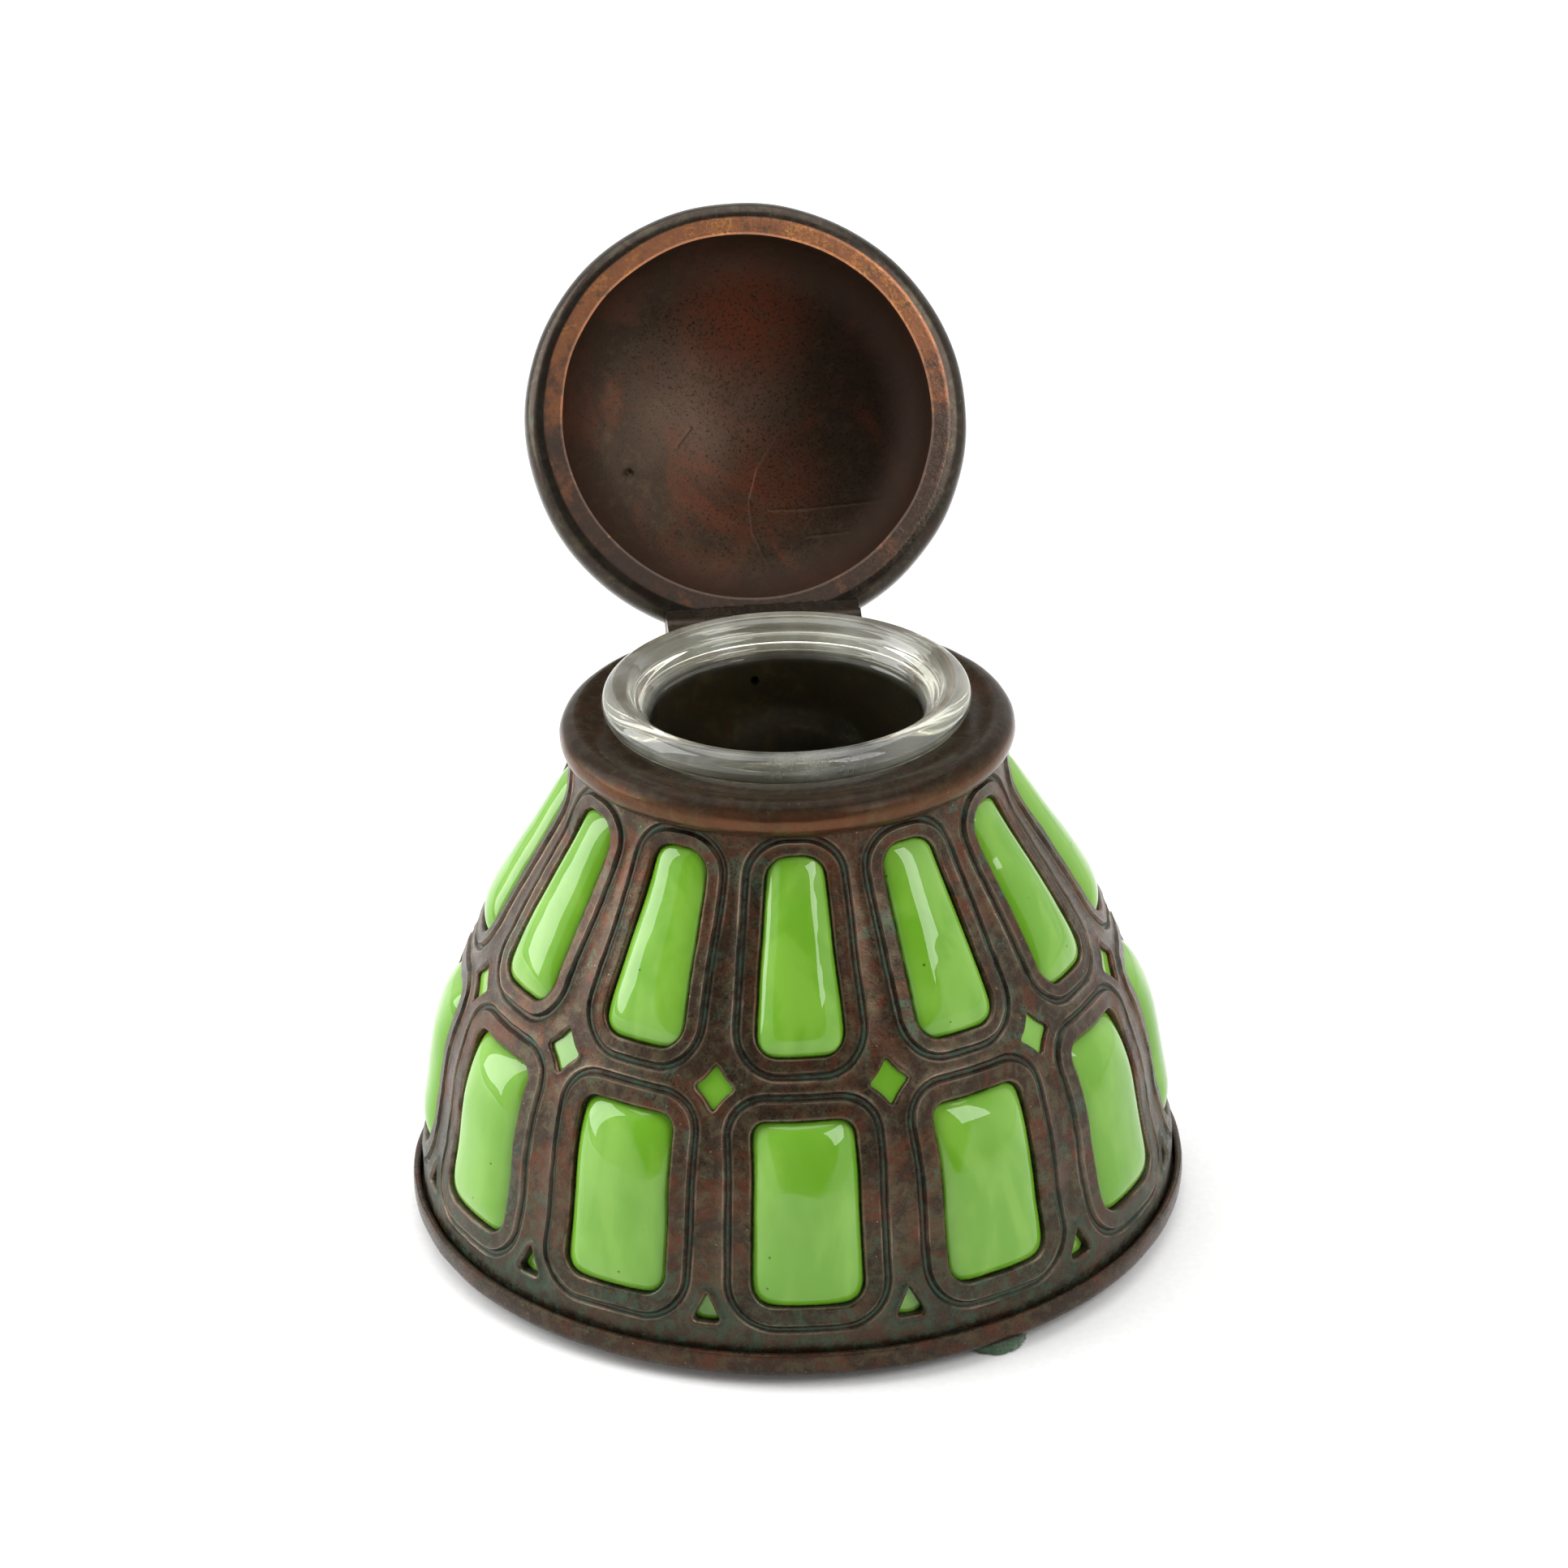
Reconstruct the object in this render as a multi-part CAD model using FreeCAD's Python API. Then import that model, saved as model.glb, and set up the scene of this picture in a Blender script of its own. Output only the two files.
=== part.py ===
import FreeCAD, Part
import math
import os

# Inkwell: a pierced bronze cage lined with blown glass, a hinged lid and a glass ink liner.
# Millimetres. +Z up, resting plane z = 0, body axis at x = y = 0, lid hinge at the back (+Y).
# Everything is built with the lid closed, then the lid group is turned to its open stop.

# --- base dish, pads and screws ---
dish_r = 53.5
dish_bottom = 1.3
dish_floor = 1.5
lip_top = 4.9
lip_wall = 1.05
pad_r = 4.5
pad_count = 4
pad_first_angle = -65.0
pad_first_ring_r = 49.5
pad_ring_r = 44.0
screw_count = 3
screw_ring_r = 46.6
screw_r = 1.25
screw_head_r = 2.6
lug_inner_r = 43.4
lug_half_width = 4.0
lug_top = 7.4

# --- pierced cage ---
foot_r = 52.0
foot_bore_r = 50.0
foot_z = dish_bottom + dish_floor
foot_bore_top = 7.8
cage_wall = 1.8
cage_top = 67.3
cage_turn = -4.4
columns = 12
shoulder = [(51.95, foot_z), (52.0, 6.0), (51.5, 10.0), (49.6, 18.0), (48.2, 26.0), (45.5, 34.0),
            (41.9, 42.0), (37.4, 50.0), (32.4, 58.0), (30.2, 62.0), (28.7, cage_top)]

# --- window outlines, (half width, height) before the corners are rounded ---
upper_window = [(6.1, 42.2), (4.2, 60.3), (3.75, 64.9)]
upper_radii = (2.9, 14.0, 3.3)
lower_window = [(7.6, 10.9), (6.8, 34.9)]
lower_radii = (3.0, 2.2)
diamond_z = 38.6
diamond_half = (2.7, 2.85)
diamond_pinch = 0.44
triangle_z = (8.3, 12.2)
triangle_half = 2.0

# --- blown glass lining ---
glass_gap = 0.3
glass_wall = 2.4
glass_bulge = 0.7
glass_bottom = 7.9
glass_top = 62.0
window_gap = 0.3

# --- collar, inner cup and liner ---
collar_r = 30.45
bead_r = 2.53
bead_z = 69.77
collar_top = 72.3
seat_top = 72.0
collar_plate = 1.7
collar_bore_r = 20.3
spigot_r = 26.3
spigot_bore_r = 24.6
spigot_z = 65.2
cup_r = 21.5
cup_wall = 0.9
cup_flange_r = 24.3
cup_floor_z = 41.0
vent_r = 0.65
vent_z = 67.4
vent_angle = 97.0
liner_flange_r = 24.6
liner_flange_z = 74.14
liner_tube_r = 2.06
liner_body_r = 19.6
liner_throat_r = 18.0
liner_bottom = 43.0

# --- lid ---
lid_r = 31.25
lid_rim_z = 72.36
lid_hollow_r = 26.0
lid_ring_r = 28.4
lid_wall = 1.8
lid_height = 12.2
opening_angle = 123.0

# --- hinge ---
hinge_y = 29.9
hinge_z = 71.3
hinge_half_length = 13.5
knuckle_r = 1.5
knuckle_gap = 0.1
knuckle_clear_r = 1.8
pin_r = 0.7
pin_running_r = 0.75
seat_y = 27.0
collar_leaf_z = 68.5
lid_leaf_z = 76.3
stop_half_width = 4.5
stop_gap = 0.03
stop_reach = 3.85

UP = FreeCAD.Vector(0, 0, 1)
ACROSS = FreeCAD.Vector(1, 0, 0)
CENTRE = FreeCAD.Vector(0, 0, 0)


def vec(x, y, z):
    return FreeCAD.Vector(x, y, z)


def box(x0, x1, y0, y1, z0, z1):
    return Part.makeBox(x1 - x0, y1 - y0, z1 - z0, vec(x0, y0, z0))


def join(shapes):
    return shapes[0].multiFuse(shapes[1:]).removeSplitter() if len(shapes) > 1 else shapes[0]


def arc(a, b, c):
    return Part.Arc(a, b, c).toShape()


def line(a, b):
    return Part.makeLine(a, b)


def spun(edges):
    # edges drawn in the XZ plane, x being the radius
    face = Part.Face(Part.Wire(edges))
    return face.revolve(CENTRE, UP, 360)


def smooth(points):
    curve = Part.BSplineCurve()
    curve.interpolate([vec(r, 0, z) for r, z in points])
    return curve.toShape()


def save(shape, node):
    shape.exportStep("parts/" + node + ".step")
    print(node, "valid", shape.isValid(), "solids", len(shape.Solids), "volume", round(shape.Volume, 1))


# --- outlines cut through the cage ---

def rounded_outline(points, radii):
    # closed outline in the XZ plane with every corner rounded by its own radius
    count = len(points)
    ends = []
    for i in range(count):
        corner = vec(points[i][0], 0, points[i][1])
        before = vec(points[i - 1][0], 0, points[i - 1][1]).sub(corner).normalize()
        after = vec(points[(i + 1) % count][0], 0, points[(i + 1) % count][1]).sub(corner).normalize()
        half = before.getAngle(after) / 2
        reach = radii[i] / math.tan(half)
        middle = before.add(after).normalize()
        nose = corner.add(middle * (radii[i] / math.sin(half) - radii[i]))
        ends.append((corner.add(before * reach), nose, corner.add(after * reach)))
    edges = []
    for i in range(count):
        edges.append(arc(*ends[i]))
        edges.append(line(ends[i][2], ends[(i + 1) % count][0]))
    return Part.Face(Part.Wire(edges))


def window_outline(sides, radii, shrink):
    right = [(w, z) for w, z in sides]
    left = [(-w, z) for w, z in reversed(sides)]
    face = rounded_outline(right + left, list(radii) + list(reversed(radii)))
    if shrink:
        face = Part.Face(face.OuterWire.makeOffset2D(-shrink))
    return face


def diamond_outline():
    half_w, half_h = diamond_half
    tips = [(half_w, 0), (0, half_h), (-half_w, 0), (0, -half_h)]
    edges = []
    for i in range(4):
        a, b = tips[i], tips[(i + 1) % 4]
        mid = (diamond_pinch * (a[0] + b[0]), diamond_pinch * (a[1] + b[1]))
        spots = [vec(p[0], 0, diamond_z + p[1]) for p in (a, mid, b)]
        edges.append(arc(*spots))
    return Part.Face(Part.Wire(edges))


def triangle_outline():
    low, high = triangle_z
    return rounded_outline([(triangle_half, low), (0.0, high), (-triangle_half, low)], [0.5, 0.4, 0.5])


def front_tool(face):
    # a bar through the wall at the front, kept away from the axis
    return face.extrude(vec(0, -70, 0)).cut(Part.makeCylinder(20, 90))


def around(tool, first_angle):
    step = 360.0 / columns
    return [tool.copy().rotate(CENTRE, UP, first_angle + step * k) for k in range(columns)]


def through_tools():
    tools = around(front_tool(window_outline(upper_window, upper_radii, 0)), cage_turn)
    tools += around(front_tool(window_outline(lower_window, lower_radii, 0)), cage_turn)
    tools += around(front_tool(diamond_outline()), cage_turn + 180.0 / columns)
    tools += around(front_tool(triangle_outline()), cage_turn + 180.0 / columns)
    return tools


# --- metal body ---

def inset(points, amount):
    # the same line moved inwards along its own normal
    moved = []
    for i in range(len(points)):
        a = points[max(i - 1, 0)]
        b = points[min(i + 1, len(points) - 1)]
        dr, dz = b[0] - a[0], b[1] - a[1]
        size = math.hypot(dr, dz)
        moved.append((points[i][0] - amount * dz / size, points[i][1] + amount * dr / size))
    return moved


def make_cage():
    inner = [p for p in inset(shoulder, cage_wall) if foot_bore_top < p[1] < cage_top - 2]
    inner = [(foot_bore_r, foot_bore_top)] + inner + [(shoulder[-1][0] - cage_wall, cage_top)]
    outer = [vec(r, 0, z) for r, z in (shoulder[0], shoulder[-1])]
    hollow = [vec(r, 0, z) for r, z in (inner[0], inner[-1])]
    foot_in = vec(foot_bore_r, 0, foot_z)
    edges = [smooth(shoulder), line(outer[1], hollow[1]), smooth(inner), line(hollow[0], foot_in),
             line(foot_in, outer[0])]
    return spun(edges).cut(through_tools())


def make_glass():
    skin = [p for p in inset(shoulder, cage_wall + glass_gap) if glass_bottom < p[1] < glass_top]
    skin = [(foot_bore_r - glass_gap, glass_bottom)] + skin
    back = [p for p in inset(shoulder, cage_wall + glass_gap + glass_wall) if glass_bottom < p[1] < glass_top]
    back = [(foot_bore_r - glass_gap - glass_wall, glass_bottom)] + back
    top_skin, top_back = vec(skin[-1][0], 0, skin[-1][1]), vec(back[-1][0], 0, back[-1][1])
    low_skin, low_back = vec(skin[0][0], 0, glass_bottom), vec(back[0][0], 0, glass_bottom)
    lining = spun([smooth(skin), line(top_skin, top_back), smooth(back), line(low_back, low_skin)])
    crown = inset(shoulder, -glass_bulge)
    heart = inset(shoulder, cage_wall + glass_gap + 0.6 * glass_wall)
    crown_ends = [vec(r, 0, z) for r, z in (crown[0], crown[-1])]
    heart_ends = [vec(r, 0, z) for r, z in (heart[0], heart[-1])]
    swell = spun([smooth(crown), line(crown_ends[1], heart_ends[1]), smooth(heart),
                  line(heart_ends[0], crown_ends[0])])
    swell = swell.common(box(-70, 70, -70, 70, glass_bottom, glass_top + 2.4))
    upper = around(front_tool(window_outline(upper_window, upper_radii, window_gap)), cage_turn)
    lower = around(front_tool(window_outline(lower_window, lower_radii, window_gap)), cage_turn)
    plugs = swell.common(Part.makeCompound(upper + lower))
    return join([lining] + plugs.Solids)


def make_dish():
    floor_top = dish_bottom + dish_floor
    inner = dish_r - lip_wall
    a = vec(0, 0, dish_bottom)
    b = vec(dish_r - 1.3, 0, dish_bottom)
    c = vec(dish_r - 0.25, 0, dish_bottom + 0.55)
    d = vec(dish_r, 0, dish_bottom + 1.5)
    e = vec(dish_r - 0.12, 0, lip_top - 0.5)
    f = vec(dish_r - 0.55, 0, lip_top)
    g = vec(inner, 0, lip_top - 0.5)
    h = vec(inner, 0, floor_top)
    top = vec(0, 0, floor_top)
    dish = spun([line(a, b), arc(b, c, d), line(d, e), arc(e, f, g), line(g, h), line(h, top), line(top, a)])
    for x, y in screw_spots():
        hole = Part.makeCylinder(screw_r + 0.2, dish_floor, vec(x, y, dish_bottom))
        sink = Part.makeCone(screw_head_r + 0.1, screw_r + 0.2, 1.2, vec(x, y, dish_bottom))
        dish = dish.cut(hole.fuse(sink))
    return dish


def screw_spots():
    spots = []
    for k in range(screw_count):
        angle = math.radians(90 + 360.0 * k / screw_count)
        spots.append((screw_ring_r * math.cos(angle), screw_ring_r * math.sin(angle)))
    return spots


def make_screws():
    screws = []
    for x, y in screw_spots():
        head = Part.makeCone(screw_head_r, screw_r, 1.15, vec(x, y, dish_bottom + 0.03))
        shank = Part.makeCylinder(screw_r, 5.0, vec(x, y, dish_bottom + 0.6))
        slot = box(x - 3, x + 3, y - 0.35, y + 0.35, dish_bottom - 0.5, dish_bottom + 0.6)
        screws.append(head.fuse(shank).removeSplitter().cut(slot))
    return Part.makeCompound(screws)


def make_lug(k):
    block = box(-lug_half_width, lug_half_width, lug_inner_r, foot_r, foot_z, lug_top)
    block = block.common(Part.makeCylinder(foot_bore_r - 0.03, 20))
    hole = Part.makeCylinder(screw_r + 0.03, 4.2, vec(0, screw_ring_r, foot_z))
    return block.cut(hole).rotate(CENTRE, UP, 360.0 * k / screw_count)


def make_pad(k):
    ring = pad_first_ring_r if k == 0 else pad_ring_r
    angle = math.radians(pad_first_angle + 360.0 * k / pad_count)
    return Part.makeCylinder(pad_r, dish_bottom, vec(ring * math.cos(angle), ring * math.sin(angle), 0))


def make_collar():
    bead_mid_r = collar_r - bead_r
    plate_under = seat_top - collar_plate
    top = vec(bead_mid_r, 0, collar_top)
    side = vec(collar_r, 0, bead_z)
    dip = math.radians(-60)
    under = vec(bead_mid_r + bead_r * math.cos(dip), 0, bead_z + bead_r * math.sin(dip))
    shelf = vec(under.x, 0, cage_top + 0.04)
    walk = [(shelf.x, shelf.z), (spigot_r, cage_top + 0.04), (spigot_r, spigot_z), (spigot_bore_r, spigot_z),
            (spigot_bore_r, plate_under), (collar_bore_r, plate_under), (collar_bore_r, seat_top),
            (liner_flange_r + 1.2, seat_top), (bead_mid_r, collar_top)]
    spots = [vec(r, 0, z) for r, z in walk]
    edges = [arc(top, side, under), line(under, shelf)]
    edges += [line(spots[i], spots[i + 1]) for i in range(len(spots) - 1)]
    ring = spun(edges)
    pocket = box(-hinge_half_length - 0.05, hinge_half_length + 0.05, seat_y, 40, collar_leaf_z, 80)
    return ring.cut(pocket).cut(barrel(knuckle_clear_r, hinge_half_length + 0.05))


def make_cup():
    flange_top = seat_top - collar_plate - 0.02
    flange_under = flange_top - 1.0
    bend = 4.0
    skin = cup_r
    bore = cup_r - cup_wall
    low = cup_floor_z
    out = [vec(0, 0, low), vec(skin - bend, 0, low), vec(skin - bend * 0.293, 0, low + bend * 0.293),
           vec(skin, 0, low + bend)]
    inn = [vec(0, 0, low + cup_wall), vec(bore - bend, 0, low + cup_wall),
           vec(bore - bend * 0.293, 0, low + cup_wall + bend * 0.293), vec(bore, 0, low + cup_wall + bend)]
    lip = [vec(skin, 0, flange_under), vec(cup_flange_r, 0, flange_under), vec(cup_flange_r, 0, flange_top),
           vec(bore, 0, flange_top)]
    cup = spun([line(out[0], out[1]), arc(out[1], out[2], out[3]), line(out[3], lip[0]), line(lip[0], lip[1]),
                line(lip[1], lip[2]), line(lip[2], lip[3]), line(lip[3], inn[3]), arc(inn[3], inn[2], inn[1]),
                line(inn[1], inn[0]), line(inn[0], out[0])])
    angle = math.radians(vent_angle)
    vent = Part.makeCylinder(vent_r, 10, vec(17 * math.cos(angle), 17 * math.sin(angle), vent_z),
                             vec(math.cos(angle), math.sin(angle), 0))
    return cup.cut(vent)


def make_liner():
    tube = liner_flange_r - liner_tube_r
    tube_top = liner_flange_z + liner_tube_r
    tube_low = liner_flange_z - liner_tube_r
    bend = 3.5
    low = liner_bottom
    floor = low + 2.2
    inner = liner_throat_r - 0.2
    out = [vec(0, 0, low), vec(liner_body_r - bend, 0, low),
           vec(liner_body_r - bend * 0.293, 0, low + bend * 0.293), vec(liner_body_r, 0, low + bend)]
    inn = [vec(0, 0, floor), vec(inner - bend, 0, floor), vec(inner - bend * 0.293, 0, floor + bend * 0.293),
           vec(inner, 0, floor + bend)]
    neck = vec(liner_throat_r, 0, 71.6)
    swell = vec(19.0, 0, 73.3)
    step = vec(20.0, 0, 74.8)
    crest = vec(21.4, 0, tube_top - 0.1)
    edges = [line(out[0], out[1]), arc(out[1], out[2], out[3]), line(out[3], vec(liner_body_r, 0, tube_low)),
             line(vec(liner_body_r, 0, tube_low), vec(tube, 0, tube_low)),
             arc(vec(tube, 0, tube_low), vec(liner_flange_r, 0, liner_flange_z), vec(tube, 0, tube_top)),
             line(vec(tube, 0, tube_top), crest), arc(crest, vec(20.5, 0, 75.5), step),
             arc(step, swell, neck), line(neck, inn[3]), arc(inn[3], inn[2], inn[1]), line(inn[1], inn[0]),
             line(inn[0], out[0])]
    return spun(edges)


# --- lid and hinge ---

def dome(r, z, top):
    # quarter of a spherical cap from its edge (r, z) to its crown on the axis
    rise = top - z
    ball = (r * r + rise * rise) / (2 * rise)
    half = math.asin(r / ball) / 2
    middle = vec(ball * math.sin(half), 0, top - ball + ball * math.cos(half))
    return arc(vec(r, 0, z), middle, vec(0, 0, top))


def make_lid():
    z = lid_rim_z
    top = z + lid_height
    roof = top - lid_wall
    brow_r, brow_z = lid_r - 2.2, z + 6.6
    hollow_r, hollow_z = lid_hollow_r - 3.6, z + 5.6
    outside = [line(vec(lid_hollow_r, 0, z), vec(lid_ring_r, 0, z)),
               arc(vec(lid_ring_r, 0, z), vec(lid_r - 0.72, 0, z + 0.95), vec(lid_r, 0, z + 3.3)),
               arc(vec(lid_r, 0, z + 3.3), vec(lid_r - 0.6, 0, z + 5.2), vec(brow_r, 0, brow_z)),
               dome(brow_r, brow_z, top)]
    inside = [line(vec(0, 0, top), vec(0, 0, roof)), dome(hollow_r, hollow_z, roof),
              arc(vec(hollow_r, 0, hollow_z), vec(lid_hollow_r - 0.7, 0, z + 3.4), vec(lid_hollow_r, 0, z))]
    shell = spun(outside + inside)
    pocket = box(-hinge_half_length - 0.05, hinge_half_length + 0.05, seat_y, 40, 60, lid_leaf_z)
    return shell.cut(pocket).cut(barrel(knuckle_clear_r, hinge_half_length + 0.05))


def barrel(radius, half_length):
    return Part.makeCylinder(radius, 2 * half_length, vec(-half_length, hinge_y, hinge_z), ACROSS)


def knuckle_spans():
    # five equal knuckles: the collar's leaf has the first, third and fifth
    step = 2 * hinge_half_length / 5
    spans = []
    for k in range(5):
        x0 = -hinge_half_length + k * step
        left = x0 if k == 0 else x0 + knuckle_gap / 2
        right = x0 + step if k == 4 else x0 + step - knuckle_gap / 2
        spans.append((left, right))
    return spans


def tube(span, radius):
    return Part.makeCylinder(radius, span[1] - span[0], vec(span[0], hinge_y, hinge_z), ACROSS)


def make_leaf(plate, own, others, bore_r):
    spans = knuckle_spans()
    leaf = plate
    for k in others:
        wide = (spans[k][0] - knuckle_gap, spans[k][1] + knuckle_gap)
        leaf = leaf.cut(tube(wide, knuckle_clear_r))
    leaf = join([leaf] + [tube(spans[k], knuckle_r) for k in own])
    return leaf.cut(barrel(bore_r, 20))


def make_collar_leaf():
    half = hinge_half_length
    plate = box(-half, half, seat_y, hinge_y, collar_leaf_z, collar_top - 0.02)
    leaf = make_leaf(join([plate, stop_shelf()]), (0, 2, 4), (1, 3), pin_r + 0.005)
    return leaf


def stop_shelf():
    # a shelf under the barrel, sloped so that the back of the lid's leaf lands flat on it
    slope = math.radians(90 - opening_angle)
    along = vec(0, math.cos(slope), math.sin(slope))
    away = vec(0, math.sin(slope), -math.cos(slope))
    axis = vec(0, hinge_y, hinge_z)
    near = axis + along * (knuckle_r - 0.3) + away * stop_gap
    far = axis + along * stop_reach + away * stop_gap
    heel = vec(0, hinge_y + 0.6, collar_leaf_z)
    foot = vec(0, hinge_y - 0.5, collar_leaf_z)
    inner = vec(0, hinge_y - 0.5, hinge_z - 1.2)
    face = Part.Face(Part.makePolygon([near, far, heel, foot, inner, near]))
    return face.extrude(ACROSS * (2 * stop_half_width)).translate(ACROSS * (-stop_half_width))


def make_lid_leaf():
    half = hinge_half_length
    plate = box(-half, half, seat_y, hinge_y, lid_rim_z + 0.02, lid_leaf_z)
    return make_leaf(plate, (1, 3), (0, 2, 4), pin_running_r)


def opened(shape):
    return shape.copy().rotate(vec(0, hinge_y, hinge_z), ACROSS, -opening_angle)


os.makedirs("parts", exist_ok=True)
save(make_dish(), "base_dish")
for n in range(pad_count):
    save(make_pad(n), "felt_pad_" + str(n + 1))
save(make_screws(), "base_screws")
for n in range(screw_count):
    save(make_lug(n), "screw_lug_" + str(n + 1))
save(make_cage(), "cage")
save(make_glass(), "blown_glass")
save(make_collar(), "collar")
save(make_cup(), "well_cup")
save(make_liner(), "ink_liner")
save(make_collar_leaf(), "hinge_leaf_collar")
save(barrel(pin_r, hinge_half_length), "hinge_pin")
save(opened(make_lid_leaf()), "hinge_leaf_lid")
save(opened(make_lid()), "lid")
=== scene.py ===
import math

import bmesh
import bpy
import numpy as np
from mathutils import Matrix, Vector
from mathutils.geometry import delaunay_2d_cdt


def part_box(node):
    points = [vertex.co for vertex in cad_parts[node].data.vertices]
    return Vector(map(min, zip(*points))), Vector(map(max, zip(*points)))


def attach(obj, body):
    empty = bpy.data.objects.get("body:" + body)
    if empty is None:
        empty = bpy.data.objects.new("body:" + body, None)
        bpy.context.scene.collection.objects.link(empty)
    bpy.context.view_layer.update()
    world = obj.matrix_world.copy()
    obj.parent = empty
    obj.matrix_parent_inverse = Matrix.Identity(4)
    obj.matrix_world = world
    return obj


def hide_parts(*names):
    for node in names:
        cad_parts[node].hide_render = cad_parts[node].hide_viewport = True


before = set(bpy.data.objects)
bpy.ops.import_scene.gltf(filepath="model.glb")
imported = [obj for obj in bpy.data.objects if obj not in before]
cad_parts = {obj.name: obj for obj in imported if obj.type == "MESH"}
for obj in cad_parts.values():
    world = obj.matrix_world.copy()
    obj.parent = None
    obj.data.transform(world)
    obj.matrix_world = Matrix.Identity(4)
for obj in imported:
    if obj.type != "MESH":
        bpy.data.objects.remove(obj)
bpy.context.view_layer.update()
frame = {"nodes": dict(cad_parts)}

MM = 0.001

# ---------------------------------------------------------------- sizes, in millimetres

SHOULDER = [(51.95, 2.8), (52.0, 6.0), (51.5, 10.0), (49.6, 18.0), (48.2, 26.0), (45.5, 34.0),
            (41.9, 42.0), (37.4, 50.0), (32.4, 58.0), (30.2, 62.0), (28.7, 67.3)]
CAGE_WALL, CAGE_FOOT = 1.8, 2.83
COLUMNS = 12
CAGE_TURN = -94.4
UPPER = ([(6.1, 42.2), (4.2, 60.3), (3.75, 64.9)], (2.9, 14.0, 3.3))
LOWER = ([(7.6, 10.9), (6.8, 34.9)], (3.0, 2.2))
DIAMOND_Z, DIAMOND_W, DIAMOND_H = 38.6, 2.75, 2.9
TRIANGLE = ([(2.0, 8.3), (0.0, 12.2)], (0.5, 0.4))
UPPER_BAND, LOWER_BAND = 1.9, 2.5
GLASS_GAP, GLASS_WALL, GLASS_TUCK = 0.12, 2.2, 0.8
HINGE_Y, HINGE_Z, HINGE_HALF, KNUCKLE_CLEAR = 29.9, 71.3, 13.5, 1.8
LEAF_GAP, LEAF_SEAT_Y = 0.05, 27.0
OPENING = 123.0
LID_Z = 72.36
LID_OUTER = [(28.4, 0.0), (29.9, 0.40), (30.85, 1.5), (31.2, 3.1), (31.0, 4.7), (30.0, 6.1), (27.2, 7.7),
             (22.0, 9.4), (15.0, 11.0), (7.0, 11.9), (0.0, 12.15), (-7.0, 11.9)]
LID_INNER = [(26.0, 0.0), (25.85, 1.2), (25.35, 2.8), (24.3, 4.3), (22.4, 5.7), (18.5, 7.2), (13.0, 8.6),
             (7.0, 9.7), (0.0, 10.2), (-7.0, 9.7)]
SCRATCHES = [[(7.8, -2.3), (3.9, 2.6), (1.6, 6.0), (0.1, 10.6), (0.1, 15.2), (1.6, 19.7), (2.4, 22.0)],
             [(2.7, 12.1), (8.0, 12.3), (18.6, 12.1)], [(7.6, 16.5), (13.5, 16.3)], [(-9.6, 2.0), (-7.4, -0.6)]]
LID_PIT = (-16.9, 5.7)
DISH_R, DISH_Z, DISH_FLOOR, DISH_LIP, DISH_LIP_R = 53.5, 1.3, 2.8, 4.9, 52.45
SCREW_RING, SCREWS = 46.6, 3
PAD_R, PADS = 4.5, 4


# ---------------------------------------------------------------- camera

def make_camera():
    azimuth, elevation, roll = math.radians(-95.4), math.radians(25.904), math.radians(-1.421)
    target, away = Vector((-0.617, 0.058, 61.03)) * MM, 618.1
    back = Vector((math.cos(azimuth) * math.cos(elevation), math.sin(azimuth) * math.cos(elevation),
                   math.sin(elevation)))
    right = Vector((-math.sin(azimuth), math.cos(azimuth), 0))
    up = back.cross(right)
    turn = Matrix.Rotation(roll, 3, back)
    right, up = turn @ right, turn @ up
    data = bpy.data.cameras.new("camera")
    data.lens = 105.8
    data.sensor_width = 36
    data.clip_start = 0.01
    camera = bpy.data.objects.new("camera", data)
    bpy.context.scene.collection.objects.link(camera)
    axes = Matrix((right, up, back)).transposed().to_4x4()
    camera.matrix_world = Matrix.Translation(target + back * away * MM) @ axes
    bpy.context.scene.camera = camera


# ---------------------------------------------------------------- small geometry helpers

def wobble(points, size, seed, waves=8):
    # smooth random field, about -1 to 1, with features of the given size
    rng = np.random.default_rng(seed)
    total = np.zeros(len(points))
    for _ in range(waves):
        direction = rng.normal(size=3)
        direction /= np.linalg.norm(direction)
        length = size * rng.uniform(0.7, 1.7)
        total += np.sin(points @ direction * (2 * math.pi / length) + rng.uniform(0, 6.28))
    return total / math.sqrt(waves * 2)


def smoothstep(x, low, high):
    t = np.clip((np.asarray(x, float) - low) / (high - low), 0, 1)
    return t * t * (3 - 2 * t)


def bump_at(x, centre, width):
    return np.exp(-((x - centre) / width) ** 2)


def outward(points):
    # unit vectors away from the vertical axis
    flat = points * (1, 1, 0)
    return flat / np.maximum(np.linalg.norm(flat, axis=1), 1e-6)[:, None]


def curve_through(points, count):
    # natural spline through the points, by chord length
    p = np.array(points, float)
    t = np.concatenate([[0], np.cumsum(np.hypot(*np.diff(p, axis=0).T))])
    n = len(t)
    a = np.zeros((n, n))
    b = np.zeros((n, 2))
    a[0, 0] = a[-1, -1] = 1
    h = np.diff(t)
    for i in range(1, n - 1):
        a[i, i - 1], a[i, i], a[i, i + 1] = h[i - 1], 2 * (h[i - 1] + h[i]), h[i]
        b[i] = 6 * ((p[i + 1] - p[i]) / h[i] - (p[i] - p[i - 1]) / h[i - 1])
    m = np.linalg.solve(a, b)
    x = np.linspace(0, t[-1], count)
    k = np.clip(np.searchsorted(t, x) - 1, 0, n - 2)
    u, v = (t[k + 1] - x)[:, None], (x - t[k])[:, None]
    hk = h[k][:, None]
    return (m[k] * u ** 3 + m[k + 1] * v ** 3) / (6 * hk) + (p[k] / hk - m[k] * hk / 6) * u + \
        (p[k + 1] / hk - m[k + 1] * hk / 6) * v


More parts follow.
